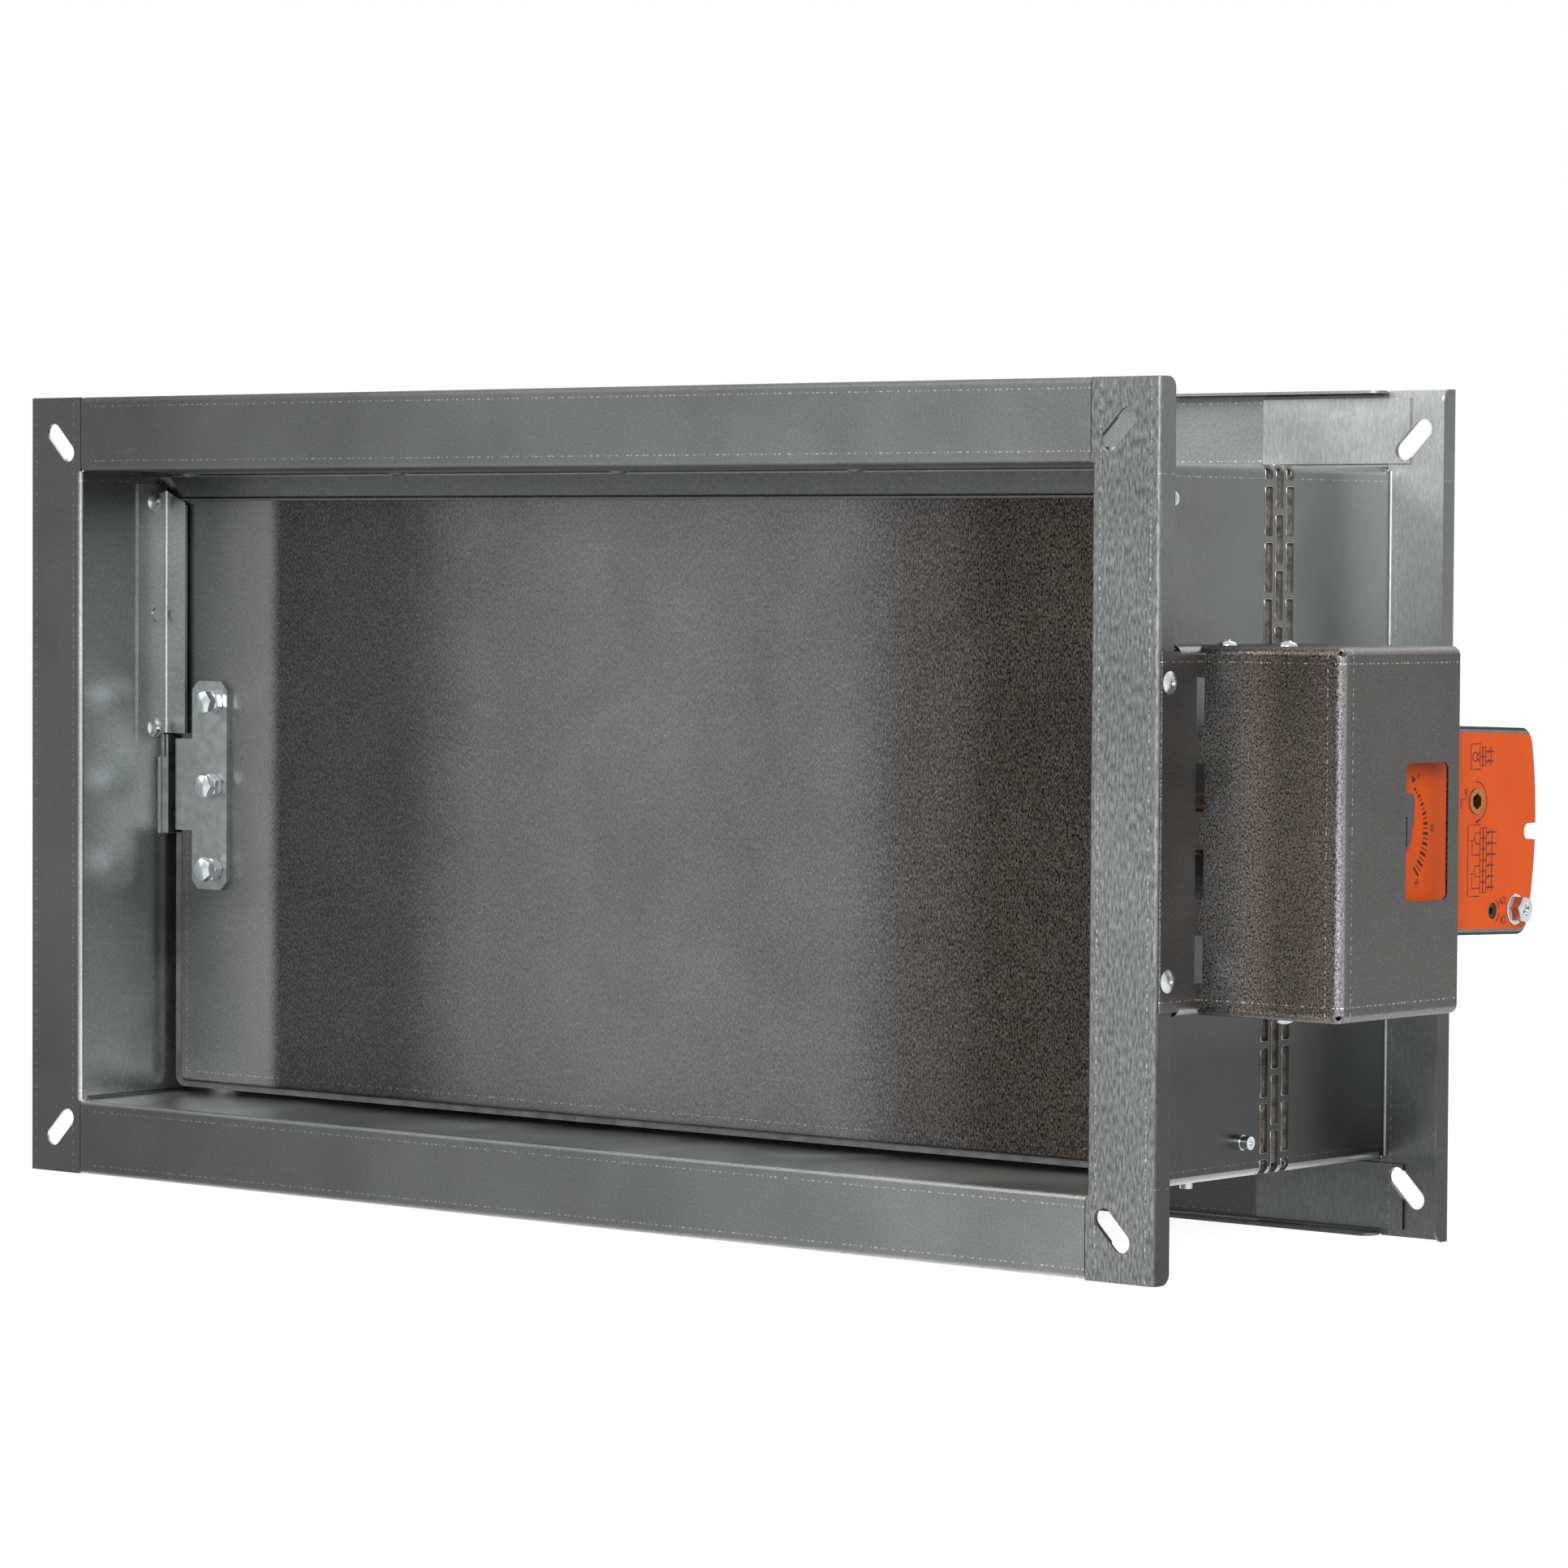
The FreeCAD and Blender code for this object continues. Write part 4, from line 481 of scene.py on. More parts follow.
def mouldedPlastic(name, look):
    # Injection moulded or pressed material: spark eroded grain and a soft sheen
    material, tree, shader = newMaterial(name)
    place = addNode(tree, "ShaderNodeTexCoord").outputs["Object"]
    grain = addNode(tree, "ShaderNodeTexNoise", links={"Vector": place},
                    values={"Scale": millimetre / look["grainSize"], "Detail": 3.0,
                            "Roughness": 0.65})
    patch = addNode(tree, "ShaderNodeTexNoise", links={"Vector": place},
                    values={"Scale": millimetre / look["patchSize"], "Detail": 2.0})
    mixed = addNode(tree, "ShaderNodeMath", operation="MULTIPLY_ADD",
                    links={0: grain.outputs["Fac"], 2: patch.outputs["Fac"]},
                    values={1: mouldedBlend["grainShare"]})
    low, high = mouldedBlend["range"]
    blendFactor = addNode(tree, "ShaderNodeMapRange", links={"Value": mixed.outputs[0]},
                          values={"From Min": low, "From Max": high})
    colour = addNode(tree, "ShaderNodeMix", data_type="RGBA",
                     links={"Factor": blendFactor.outputs["Result"]},
                     values={6: toLinear(look["dark"]), 7: toLinear(look["light"])})
    bump = addNode(tree, "ShaderNodeBump", links={"Height": grain.outputs["Fac"]},
                   values={"Strength": look["bump"], "Distance": mouldedBlend["bumpHeight"] * mm})
    tree.links.new(colour.outputs[2], shader.inputs["Base Color"])
    tree.links.new(bump.outputs["Normal"], shader.inputs["Normal"])
    shader.inputs["Roughness"].default_value = look["roughness"]
    shader.inputs["IOR"].default_value = look["ior"]
    return material


blackHousing = mouldedPlastic("mouldedBlackPolycarbonate", {
    "dark": "#151516", "light": "#232325", "grainSize": 0.6, "patchSize": 12.0, "bump": 0.25,
    "roughness": 0.5, "ior": 1.58})
labelFilm = mouldedPlastic("printedPolyesterFilm", {
    "dark": "#dc5206", "light": "#e2580a", "grainSize": 0.5, "patchSize": 25.0, "bump": 0.04,
    "roughness": 0.5, "ior": 1.33})
printInk = mouldedPlastic("screenPrintInk", {
    "dark": "#140a08", "light": "#1d100c", "grainSize": 0.4, "patchSize": 4.0, "bump": 0.03,
    "roughness": 0.5, "ior": 1.5})
expandingStrip = mouldedPlastic("intumescentStrip", {
    "dark": "#171412", "light": "#94897e", "grainSize": 1.3, "patchSize": 5.0, "bump": 0.9,
    "roughness": 0.8, "ior": 1.45})
mineralBoard = mouldedPlastic("pressedCalciumSilicate", {
    "dark": "#8e8a80", "light": "#b9b4a8", "grainSize": 1.0, "patchSize": 18.0, "bump": 0.5,
    "roughness": 0.85, "ior": 1.5})
sealRubber = mouldedPlastic("extrudedSealRubber", {
    "dark": "#3a3b3b", "light": "#5b5c5b", "grainSize": 0.8, "patchSize": 9.0, "bump": 0.2,
    "roughness": 0.6, "ior": 1.52})
dress(blackHousing, "actuator_housing", "actuator_hub", "spring_lock", "cable_gland")
dress(labelFilm, "actuator_label")
dress(expandingStrip, "thermal_liner_left", "thermal_liner_right", "thermal_liner_top",
      "thermal_liner_bottom")
dress(mineralBoard, "blade_core")
dress(sealRubber, "blade_edge_seal")
print("fittings dressed")


# Bolts, nuts and screws

fastenerShape = {
    "headPoints": 72, "flatShare": 0.96, "chamferDegrees": 28.0,
    "recessShares": (1.25, 1.05, 0.95, 0.6, 0.3, 0.05), "recessSlot": 0.24, "recessSlope": 0.35,
    "threadPoints": 24, "ringsPerTurn": 6, "endFade": 0.5, "roundPoints": 48,
}


def hexReach(acrossFlats, angle):
    # Distance from the middle of a hexagon to its outline, with a flat facing the angle 30 degrees
    folded = (angle + math.pi / 6) % (math.pi / 3) - math.pi / 6
    return acrossFlats / 2 / math.cos(folded)


def crossRecess(radius, angle, size, depth):
    # Depth of a cross shaped driver recess at a point of a screw head
    along = max(abs(math.cos(angle)), abs(math.sin(angle))) * radius
    beside = min(abs(math.cos(angle)), abs(math.sin(angle))) * radius
    if along > size or beside > size * fastenerShape["recessSlot"]:
        return 0.0
    return depth * (1 - fastenerShape["recessSlope"] * along / size)


def ringPoints(place, axis, side, count, shapeAt):
    # A ring round the axis. shapeAt gives its radius and rise at an angle.
    up = axis.cross(side)
    points = []
    for index in range(count):
        angle = 2 * math.pi * index / count
        radius, rise = shapeAt(angle)
        points.append(place + axis * rise + side * (radius * math.cos(angle))
                      + up * (radius * math.sin(angle)))
    return points


def hexHeadRings(place, axis, side, across, height, recess=None, chamferBelow=False):
    # Rings of a chamfered hexagon head that stands on place and points along axis
    count = fastenerShape["headPoints"]
    flat = across / 2 * fastenerShape["flatShare"]
    slope = math.tan(math.radians(fastenerShape["chamferDegrees"]))
    rings = []
    for outside, top in ((False, False), (True, False), (True, True), (False, True)):
        def headAt(angle):
            radius = hexReach(across, angle) if outside else flat
            cut = max(0.0, radius - flat) * slope
            if top:
                return radius, height - cut
            return radius, cut if chamferBelow else 0.0
        rings.append(ringPoints(place, axis, side, count, headAt))
    if recess:
        size, depth = recess
        for share in fastenerShape["recessShares"]:
            rings.append(ringPoints(place, axis, side, count, lambda angle: (
                size * share, height - crossRecess(size * share, angle, size, depth))))
    return rings


def threadRings(start, end, side, radius, pitch, depth):
    # A screw thread as a skin of rings whose radius runs round in a helix
    length = (end - start).length
    axis = (end - start).normalized()
    steps = max(int(length / pitch * fastenerShape["ringsPerTurn"]), 2)
    rings = []
    for step in range(steps + 1):
        run = length * step / steps
        fade = min(1.0, (length - run) / pitch)

        def threadAt(angle):
            phase = (run / pitch - angle / (2 * math.pi)) % 1.0
            ridge = 1 - abs(2 * phase - 1)
            return radius - depth * (1 - ridge + fastenerShape["endFade"] * (1 - fade)), run
        rings.append(ringPoints(start, axis, side, fastenerShape["threadPoints"], threadAt))
    return rings


def discRings(place, axis, side, radius, height, edge):
    # A round washer flange with a broken edge
    return [ringPoints(place, axis, side, fastenerShape["roundPoints"], lambda angle: (out, rise))
            for out, rise in ((radius - edge, 0.0), (radius, edge), (radius, height - edge),
                              (radius - edge, height))]


# In all three dictionaries sizes are in mm, and a thread starts sunk into its head
bladeBolts = {
    "leftColumn": -264.5, "rightColumn": 273.5, "heights": (-40.0, 0.0, 40.0),
    "headFront": 45.5, "headHeight": 4.0, "flats": 10.0,
    "shank": 3.0, "pitch": 1.0, "threadDepth": 0.55, "sunk": 0.2, "end": 106.0,
    "frontNut": 49.5, "nutHeight": 5.0, "rearNut": 99.0,
    "turns": (4, 27, 41, 12, 52, 33),      # how far round each head came to rest, in degrees
    "nutTurn": 0.5,                        # how much farther the front nut came, in radians
}


def makeBladeBolts(sizes):
    bolts, frontNuts, rearNuts = bmesh.new(), bmesh.new(), bmesh.new()
    backward = Vector((0, 1, 0))
    under = sizes["headFront"] + sizes["headHeight"]
    places = [(across, height) for across in (sizes["leftColumn"], sizes["rightColumn"])
              for height in sizes["heights"]]
    for (across, height), degrees in zip(places, sizes["turns"]):
        turn = math.radians(degrees)
        side = Vector((math.cos(turn), 0, math.sin(turn)))
        farther = turn + sizes["nutTurn"]
        other = Vector((math.cos(farther), 0, math.sin(farther)))
        head = Vector((across, under, height)) * mm
        addRings(bolts, hexHeadRings(head, -backward, side, sizes["flats"] * mm,
                                     sizes["headHeight"] * mm))
        start = Vector((across, under - sizes["sunk"], height)) * mm
        end = Vector((across, sizes["end"], height)) * mm
        addRings(bolts, threadRings(start, end, side, sizes["shank"] * mm, sizes["pitch"] * mm,
                                    sizes["threadDepth"] * mm))
        for nuts, nutStart, nutSide in ((frontNuts, sizes["frontNut"], other),
                                        (rearNuts, sizes["rearNut"], side)):
            seat = Vector((across, nutStart, height)) * mm
            addRings(nuts, hexHeadRings(seat, backward, nutSide, sizes["flats"] * mm,
                                        sizes["nutHeight"] * mm, chamferBelow=True))
    piece = finishPiece("bladeBolts", bolts, zincFastener, "blade")
    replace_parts(piece, "blade_bolts")
    piece = finishPiece("bladeFrontNuts", frontNuts, zincFastener, "blade")
    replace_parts(piece, "blade_front_nuts")
    piece = finishPiece("bladeRearNuts", rearNuts, zincFastener, "blade")
    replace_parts(piece, "blade_rear_nuts")


makeBladeBolts(bladeBolts)

fixingBolt = {
    "y": 168.5, "z": -35.5, "seat": 397.5, "flange": 6.5, "flangeHeight": 1.2, "flangeEdge": 0.3,
    "flats": 10.0, "headHeight": 5.0, "headSunk": 0.05, "recess": (2.4, 1.8),
    "shank": 3.0, "pitch": 1.0, "threadDepth": 0.55, "sunk": 0.2, "end": 336.0,
    "nutStart": 338.0, "nutHeight": 5.0, "turn": 20.0,
}


def makeFixingBolt(sizes):
    outward = Vector((1, 0, 0))
    turn = math.radians(sizes["turn"])
    side = Vector((0, math.cos(turn), math.sin(turn)))
    seat = Vector((sizes["seat"], sizes["y"], sizes["z"])) * mm
    bolt = bmesh.new()
    addRings(bolt, discRings(seat, outward, side, sizes["flange"] * mm, sizes["flangeHeight"] * mm,
                             sizes["flangeEdge"] * mm))
    head = seat + outward * ((sizes["flangeHeight"] - sizes["headSunk"]) * mm)
    addRings(bolt, hexHeadRings(head, outward, side, sizes["flats"] * mm, sizes["headHeight"] * mm,
                                [size * mm for size in sizes["recess"]]))
    end = Vector((sizes["end"], sizes["y"], sizes["z"])) * mm
    addRings(bolt, threadRings(seat + outward * (sizes["sunk"] * mm), end, side,
                               sizes["shank"] * mm, sizes["pitch"] * mm,
                               sizes["threadDepth"] * mm))
    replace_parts(finishPiece("actuatorFixingBolt", bolt, zincFastener, "casing"),
                "actuator_fixing_bolt")
    nut = bmesh.new()
    seat = Vector((sizes["nutStart"], sizes["y"], sizes["z"])) * mm
    addRings(nut, hexHeadRings(seat, outward, side, sizes["flats"] * mm, sizes["nutHeight"] * mm,
                               chamferBelow=True))
    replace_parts(finishPiece("actuatorFixingNut", nut, zincFastener, "casing"), "actuator_fixing_nut")


makeFixingBolt(fixingBolt)

coverScrews = {
    "places": ((341.0, 38.8, 1), (371.0, 38.8, 1), (371.0, 38.8, -1)), "roof": 75.8,
    "headRadius": 4.3, "headHeight": 2.2, "recess": (1.9, 1.3),
    "headShares": (0.96, 1.0, 0.97, 0.88, 0.74, 0.6, 0.5, 0.46, 0.4, 0.3, 0.18, 0.04),
    "recessFrom": 0.6,      # share of the head inside which its recess is cut
    "shank": 2.0, "length": 7.0, "pitch": 0.8, "threadDepth": 0.4, "sunk": 0.1,
}


def makeCoverScrews(sizes):
    screws = bmesh.new()
    for x, y, side in sizes["places"]:
        up = Vector((0, 0, side))
        beside = Vector((math.cos(x), math.sin(x), 0))      # each came to rest at a turn of its own
        seat = Vector((x, y, side * sizes["roof"])) * mm
        rings = []
        for share in sizes["headShares"]:
            radius = sizes["headRadius"] * share

            def domeAt(angle):
                rise = sizes["headHeight"] * math.sqrt(max(0.0, 1 - share ** 2)) if rings else 0.0
                if share < sizes["recessFrom"]:
                    rise -= crossRecess(radius, angle, *sizes["recess"])
                return radius * mm, rise * mm
            rings.append(ringPoints(seat, up, beside, fastenerShape["roundPoints"], domeAt))
        addRings(screws, rings)
        addRings(screws, threadRings(seat + up * (sizes["sunk"] * mm),
                                     seat - up * (sizes["length"] * mm), beside,
                                     sizes["shank"] * mm, sizes["pitch"] * mm,
                                     sizes["threadDepth"] * mm))
    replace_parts(finishPiece("coverScrews", screws, zincFastener, "casing"), "cover_screws")


makeCoverScrews(coverScrews)
print("fasteners made")


# Raised edges of the thermal break slots

slotEdges = {
    "halfWidth": 300.0, "halfHeight": 150.0, "sheet": 1.2, "bend": 2.0,
    "middle": 131.9, "spacing": 7.8, "width": 5.0, "length": 21.0, "web": 2.9,
    "corner": 1.0, "cornerDegrees": 30, "step": 2.5,
    # the lip's section: distance from the slot's edge and rise above the sheet
    "lip": ((0.0, -0.15), (0.05, 0.3), (0.216, 0.27), (0.36, -0.15)),
}


def wallPoint(sizes, run, y, rise, signX, signZ):
    # A point on the outside of the casing: run goes up the side wall, round the bend and along
    # the roof
    straight = sizes["halfHeight"] - sizes["bend"]
    radius = sizes["bend"] + sizes["sheet"]
    arc = radius * math.pi / 2
    if run <= straight:
        x, z = sizes["halfWidth"] + sizes["sheet"] + rise, run
    elif run <= straight + arc:
        angle = (run - straight) / radius
        reach = radius + rise
        x = sizes["halfWidth"] - sizes["bend"] + reach * math.cos(angle)
        z = straight + reach * math.sin(angle)
    else:
        x = sizes["halfWidth"] - sizes["bend"] - (run - straight - arc)
        z = sizes["halfHeight"] + sizes["sheet"] + rise
    return Vector((x * signX, y, z * signZ)) * mm


def slotOutline(sizes, start, end, y):
    # Points round one slot, close enough together to follow the bend
    corner, degrees = sizes["corner"], sizes["cornerDegrees"]
    low, high = y - sizes["width"] / 2 + corner, y + sizes["width"] / 2 - corner
    points = []
    for cornerRun, cornerY, first in ((end - corner, high, 0), (start + corner, high, 90),
                                      (start + corner, low, 180), (end - corner, low, 270)):
        for turned in range(first, first + 91, degrees):
            angle = math.radians(turned)
            points.append((cornerRun + corner * math.cos(angle),
                           cornerY + corner * math.sin(angle)))
    outline = []
    for index, point in enumerate(points):
        after = points[(index + 1) % len(points)]
        outline.append(point)
        parts = int(math.hypot(after[0] - point[0], after[1] - point[1]) / sizes["step"])
        for part in range(1, parts):
            share = part / parts
            outline.append((point[0] + (after[0] - point[0]) * share,
                            point[1] + (after[1] - point[1]) * share))
    return outline


def addSlotLip(bm, sizes, start, end, y, signX, signZ):
    middle = (start + end) / 2
    outline = slotOutline(sizes, start, end, y)
    loops = []
    for offset, rise in sizes["lip"]:
        growRun = 1 + offset / ((end - start) / 2)
        growY = 1 + offset / (sizes["width"] / 2)
        loops.append([bm.verts.new(wallPoint(sizes, middle + (run - middle) * growRun,
                                             y + (across - y) * growY, rise, signX, signZ))
                      for run, across in outline])
    joinLoops(bm, zip(loops, loops[1:] + loops[:1]))


def makeSlotLips(sizes):
    pitch = sizes["length"] + sizes["web"]
    straight = sizes["halfHeight"] - sizes["bend"]
    arc = (sizes["bend"] + sizes["sheet"]) * math.pi / 2
    middleArc = (sizes["bend"] + sizes["sheet"] / 2) * math.pi / 2
    lips = bmesh.new()
    for y, shifted in ((sizes["middle"] - sizes["spacing"], False), (sizes["middle"], True),
                       (sizes["middle"] + sizes["spacing"], False)):
        centres = []
        centre = 0.0 if shifted else pitch / 2
        while centre + sizes["length"] / 2 < straight:
            centres.append(centre)
            centre += pitch
        wrapStart = centres[-1] + sizes["length"] / 2 + sizes["web"]
        wrapOver = max(sizes["length"] - (straight - wrapStart) - middleArc, 0.0)
        halfRoof = sizes["halfWidth"] - sizes["bend"] - wrapOver
        count = max(int(round((2 * halfRoof - sizes["web"]) / pitch)), 1)
        roofPitch = (2 * halfRoof - sizes["web"]) / count
        for signX in (-1, 1):
            for signZ in (-1, 1):
                addSlotLip(lips, sizes, wrapStart, straight + arc + wrapOver, y, signX, signZ)
            for centre in centres:
                for signZ in ((-1, 1) if centre > 0 else (1,)):
                    addSlotLip(lips, sizes, centre - sizes["length"] / 2,
                               centre + sizes["length"] / 2, y, signX, signZ)
        for index in range(count):
            near = -halfRoof + sizes["web"] + index * roofPitch
            far = near + roofPitch - sizes["web"]
            edge = sizes["halfWidth"] - sizes["bend"] + straight + arc
            for signZ in (-1, 1):
                addSlotLip(lips, sizes, edge - far, edge - near, y, 1, signZ)
    finishPiece("slotLips", lips, slotLipMetal, "casing", 60)


# Painted highlight where the lips' faces turn off the main axes
slotLipMetal = sheetSteel("punchedSlotEdges", {
    **sheetLook, "colour": "#8a8d8a", "roughness": 0.3, "grainDepth": 0.05, "paintedBendHighlight": 0.2})
makeSlotLips(slotEdges)
print("slot lips made")


# Print on the actuator's label: a dial and line diagrams

labelPrint = {
    "face": 398.0, "inkHeight": 0.06, "sunk": 0.01, "line": 0.50,
    "pivotY": 77.0, "dialZ": 0.8, "tickInner": 21.6, "shortTick": 1.5, "longTick": 5.0,
    "thickTick": 1.25, "thinTick": 0.5, "tickSpan": 47.0, "tickCount": 19,
    "pointer": ((89.4, 22.9), (93.0, 21.2), (90.2, 19.4)),
    "numbers": (("0", 51.0), ("45", 0.0), ("90", -52.5)), "numberRadius": 28.0, "numberSize": 3.4,
}

# Points are (y, z) in mm, and arcs (y, z, radius, first degree, last degree, parts)
labelDrawing = {
    "lines": (
        ((141.0, 34.8), (133.7, 34.8), (133.7, 24.2), (141.0, 24.2)),      # round the motor circuit
        ((138.8, 30.2), (140.6, 31.4)), ((138.8, 28.6), (140.6, 27.4)),
        ((148.9, 33.4), (148.9, 25.4)),
        ((141.0, 1.0), (132.0, 1.0), (132.0, -28.8), (141.0, -28.8)),      # round the end switches
        ((150.2, -1.2), (150.2, -27.0)),
        ((126.6, 8.0), (126.6, 11.8), (130.2, 11.8), (130.2, 14.2)),       # crank
    ),
    "rings": ((136.9, 29.4, 1.9, 0, 345, 22), (130.2, 15.2, 0.9, 0, 340, 14)),
    "arcs": ((151.4, -35.5, 5.0, 62, 12, 8), (151.4, -35.5, 5.0, -62, -12, 8)),
    "turningArrow": (137.9, 10.8, 8.2, 92, -78, 26),
    "arrowHead": ((-2.3, -0.5), (0.2, 0.8), (-0.1, -1.3)),
    "slash": (0.6, 0.9),
    "terminals": (
        # columns, height, where the slash is, and a row for each: top, its wire, the wire's end
        ((140.6, 142.6, 144.8), 3.8, 147.0, ((33.4, 31.4, 150.8), (29.3, 27.4, 150.8))),
        ((141.2, 143.5, 146.0), 4.2, 147.8, (
            (-0.3, -2.4, 153.8), (-4.9, -7.0, 153.8), (-9.5, -11.6, 153.8),
            (-14.1, -16.2, 151.8), (-18.7, -20.8, 151.8), (-23.3, -25.4, 151.8))),
    ),
    "contactTops": (-2.4, -16.2),
    "contact": (
        ((141.2, 0.0), (137.4, 0.0), (137.4, -1.6)), ((141.2, -4.6), (138.4, -4.6), (136.6, -1.8)),
        ((141.2, -9.2), (135.2, -9.2), (135.2, -4.2)), ((133.9, -3.2), (136.2, -3.2))),
    "padlocks": ((-31.4, 0.9), (-39.6, 0.0)),      # where, and how far its shackle is lifted
    "padlockBody": (158.6, 160.8, 1.4),
    "shackle": ((158.6, -0.9, 0), (157.6, -0.7, 1), (157.6, 0.7, 1), (158.4, 0.9, 1)),
}


def ribbon(bm, sizes, points, width, closed=False):
    # A flat raised line through points (y, z) in mm on the label
    low = sizes["face"] - sizes["sunk"]
    high = sizes["face"] + sizes["inkHeight"]
    count = len(points)
    sections = []
    for index, point in enumerate(points):
        before = points[index - 1] if index or closed else point
        after = points[(index + 1) % count] if index + 1 < count or closed else point
        run = Vector((after[0] - before[0], after[1] - before[1])).normalized()
        half = Vector((-run.y, run.x)) * width / 2
        left = (point[0] + half.x, point[1] + half.y)
        right = (point[0] - half.x, point[1] - half.y)
        sections.append([bm.verts.new(Vector((x, y, z)) * mm) for x, (y, z) in
                         ((low, left), (high, left), (high, right), (low, right))])
    pairs = list(zip(sections, sections[1:]))
    if closed:
        pairs.append((sections[-1], sections[0]))
    joinLoops(bm, pairs)
    if not closed:
        bm.faces.new(sections[0][::-1])
        bm.faces.new(sections[-1])


def arcPoints(centreY, centreZ, radius, first, last, parts):
    angles = [math.radians(first + (last - first) * part / parts) for part in range(parts + 1)]
    return [(centreY + radius * math.cos(angle), centreZ + radius * math.sin(angle))
            for angle in angles]


def wedge(bm, sizes, points):
    # A flat raised shape with the given corners
    low, high = ([bm.verts.new(Vector((x, y, z)) * mm) for y, z in points]
                 for x in (sizes["face"] - sizes["sunk"], sizes["face"] + sizes["inkHeight"]))
    bm.faces.new(low[::-1])
    bm.faces.new(high)
    joinLoops(bm, [(low, high)])


def frameLine(bm, sizes, y1, y2, z1, z2, width):
    ribbon(bm, sizes, [(y1, z1), (y2, z1), (y2, z2), (y1, z2)], width, closed=True)


def makeDial(sizes):
    ink = bmesh.new()
    inner = sizes["tickInner"]
    for index in range(sizes["tickCount"]):
        share = index / (sizes["tickCount"] - 1)
        angle = math.radians(sizes["tickSpan"] * (1 - 2 * share))
        outer = inner + sizes["shortTick"] + (sizes["longTick"] - sizes["shortTick"]) * share
        ends = [(sizes["pivotY"] + radius * math.cos(angle),
                 sizes["dialZ"] + radius * math.sin(angle)) for radius in (inner, outer)]
        ribbon(ink, sizes, ends, sizes["thickTick"] if index % 2 == 0 else sizes["thinTick"])
    wedge(ink, sizes, sizes["pointer"])
    return ink


def makeDiagrams(sizes, drawing):
    # Generic signs: a motor and two end switches with their terminals, a crank and a turning arrow
    # at the winding socket, and an open and a closed padlock at the lock
    ink = bmesh.new()
    line = sizes["line"]
    for points in drawing["lines"]:
        ribbon(ink, sizes, points, line)
    for ring in drawing["rings"]:
        ribbon(ink, sizes, arcPoints(*ring), line, closed=True)
    for arc in drawing["arcs"]:
        ribbon(ink, sizes, arcPoints(*arc), line)
    arrow = arcPoints(*drawing["turningArrow"])
    ribbon(ink, sizes, arrow, line)
    wedge(ink, sizes, [(arrow[-1][0] + y, arrow[-1][1] + z) for y, z in drawing["arrowHead"]])
    slashY, slashZ = drawing["slash"]
    for columns, height, slash, rows in drawing["terminals"]:
        for top, wire, end in rows:
            for near, far in zip(columns, columns[1:]):
                frameLine(ink, sizes, near, far, top - height, top, line)
            ribbon(ink, sizes, [(columns[-1], wire), (end, wire)], line)
            ribbon(ink, sizes, [(slash - slashY, wire - slashZ), (slash + slashY, wire + slashZ)],
                   line)
    for top in drawing["contactTops"]:
        for points in drawing["contact"]:
            ribbon(ink, sizes, [(y, top + z) for y, z in points], line)
    near, far, half = drawing["padlockBody"]
    for middle, lifted in drawing["padlocks"]:
        frameLine(ink, sizes, near, far, middle - half, middle + half, line)
        ribbon(ink, sizes, [(y - lifted * moves, middle + z) for y, z, moves in drawing["shackle"]],
               line)
    return ink


def makeNumbers(sizes):
    # The dial's plain numbers, reading upwards as the ticks run
    for text, angle in sizes["numbers"]:
        curve = bpy.data.curves.new("dialNumber" + text, "FONT")
        curve.body = text
        curve.size = sizes["numberSize"] * mm
        curve.align_x = "CENTER"
        curve.align_y = "CENTER"
        curve.extrude = sizes["inkHeight"] / 2 * mm
        turned = math.radians(angle)
        place = Vector((sizes["face"] + sizes["inkHeight"] / 2,
                        sizes["pivotY"] + sizes["numberRadius"] * math.cos(turned),
                        sizes["dialZ"] + sizes["numberRadius"] * math.sin(turned))) * mm
        basis = Matrix(((0, 0, 1), (0, -1, 0), (1, 0, 0))) @ Matrix.Rotation(turned, 3, "Z")
        source = bpy.data.objects.new("dialNumberSource" + text, curve)
        bpy.context.scene.collection.objects.link(source)
        bpy.context.view_layer.update()
        mesh = bpy.data.meshes.new_from_object(source)
        bpy.data.objects.remove(source)
        mesh.transform(Matrix.Translation(place) @ basis.to_4x4())
        mesh.materials.clear()
        mesh.materials.append(printInk)
        number = bpy.data.objects.new("dialNumber" + text, mesh)
        bpy.context.scene.collection.objects.link(number)
        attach(number, "casing")


finishPiece("dialTicks", makeDial(labelPrint), printInk, "casing")
finishPiece("lineDiagrams", makeDiagrams(labelPrint, labelDrawing), printInk, "casing")
makeNumbers(labelPrint)
print("label printed")


# Room: pale floor, white surroundings and soft lamps

room = {
    "floorSize": 9.0, "floorParts": 8, "floorGap": 0.0002, "floorGlow": 0.86,
    "floorColour": "#a0a0a0", "fillLevel": 0.78, "aim": (0.0, 0.1, 0.0),
    "lamps": (
        # place, size, power, name
        ((2.3, -3.0, 1.5), 1.5, 110.0, "softboxBesideCamera"),
        ((-1.4, -3.0, 2.2), 2.2, 30.0, "softboxFrontLeft"),
        ((0.4, 2.8, 2.8), 2.2, 16.0, "softboxBehind"),
    ),
}


def whiteForEyes(tree):
    # 1 for rays that see the surroundings straight, in a reflection or through glass
    path = addNode(tree, "ShaderNodeLightPath")
    seen = addNode(tree, "ShaderNodeMath", operation="MAXIMUM",
                   links={0: path.outputs["Is Camera Ray"], 1: path.outputs["Is Glossy Ray"]})
    return addNode(tree, "ShaderNodeMath", operation="MAXIMUM",
                   links={0: seen.outputs[0], 1: path.outputs["Is Transmission Ray"]}).outputs[0]


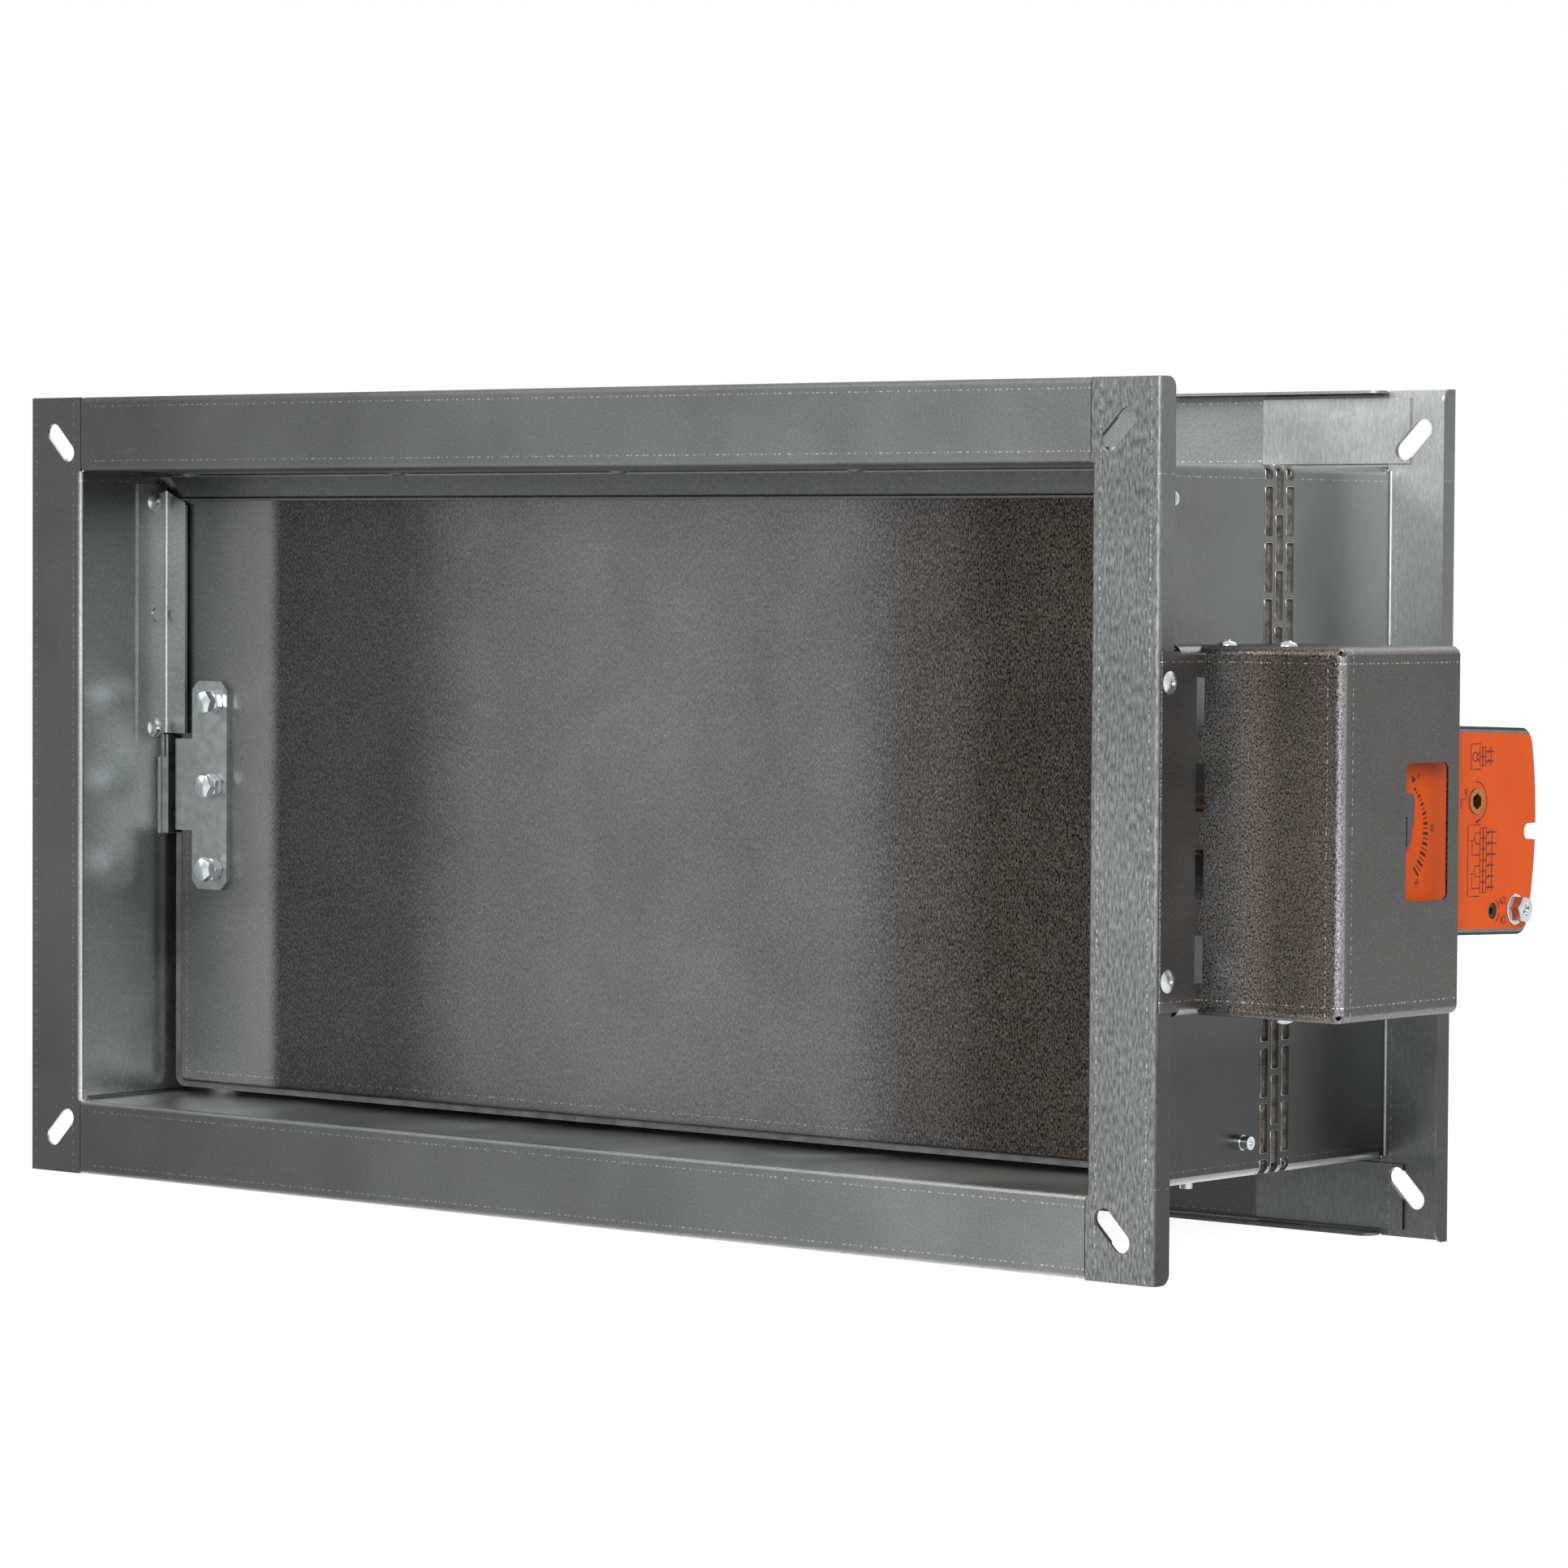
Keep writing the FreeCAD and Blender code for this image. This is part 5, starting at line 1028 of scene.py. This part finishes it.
def buildRoom(sizes):
    scene = bpy.context.scene
    scene.view_settings.view_transform = "Standard"
    world = bpy.data.worlds.new("paleStudio")
    scene.world = world
    world.use_nodes = True
    tree = world.node_tree
    tree.nodes.clear()
    strength = addNode(tree, "ShaderNodeMapRange", links={"Value": whiteForEyes(tree)},
                       values={"To Min": sizes["fillLevel"], "To Max": 1.0})
    light = addNode(tree, "ShaderNodeBackground", links={"Strength": strength.outputs["Result"]},
                    values={"Color": (1, 1, 1, 1)})
    addNode(tree, "ShaderNodeOutputWorld", links={"Surface": light.outputs["Background"]})

    material = bpy.data.materials.new("paleFloor")
    material.use_nodes = True
    tree = material.node_tree
    tree.nodes.clear()
    glow = addNode(tree, "ShaderNodeMath", operation="MULTIPLY", links={0: whiteForEyes(tree)},
                   values={1: sizes["floorGlow"]})
    bright = addNode(tree, "ShaderNodeEmission", links={"Strength": glow.outputs[0]},
                     values={"Color": (1, 1, 1, 1)})
    matte = addNode(tree, "ShaderNodeBsdfDiffuse", values={"Color": toLinear(sizes["floorColour"])})
    both = addNode(tree, "ShaderNodeAddShader", links={0: bright.outputs[0], 1: matte.outputs[0]})
    addNode(tree, "ShaderNodeOutputMaterial", links={"Surface": both.outputs[0]})
    floor = bmesh.new()
    bmesh.ops.create_grid(floor, x_segments=sizes["floorParts"], y_segments=sizes["floorParts"],
                          size=sizes["floorSize"] / 2)
    bmesh.ops.translate(floor, verts=floor.verts[:],
                        vec=(0, 0, cadBox[0][2] - sizes["floorGap"]))
    mesh = bpy.data.meshes.new("paleFloor")
    floor.to_mesh(mesh)
    floor.free()
    mesh.materials.append(material)
    ground = bpy.data.objects.new("paleFloor", mesh)
    scene.collection.objects.link(ground)

    for place, size, power, name in sizes["lamps"]:
        data = bpy.data.lights.new(name, "AREA")
        data.shape = "SQUARE"
        data.size = size
        data.energy = power
        lamp = bpy.data.objects.new(name, data)
        lamp.location = place
        aim = Vector(sizes["aim"]) - Vector(place)
        lamp.rotation_euler = aim.to_track_quat("-Z", "Y").to_euler()
        scene.collection.objects.link(lamp)


buildRoom(room)
print("room built")
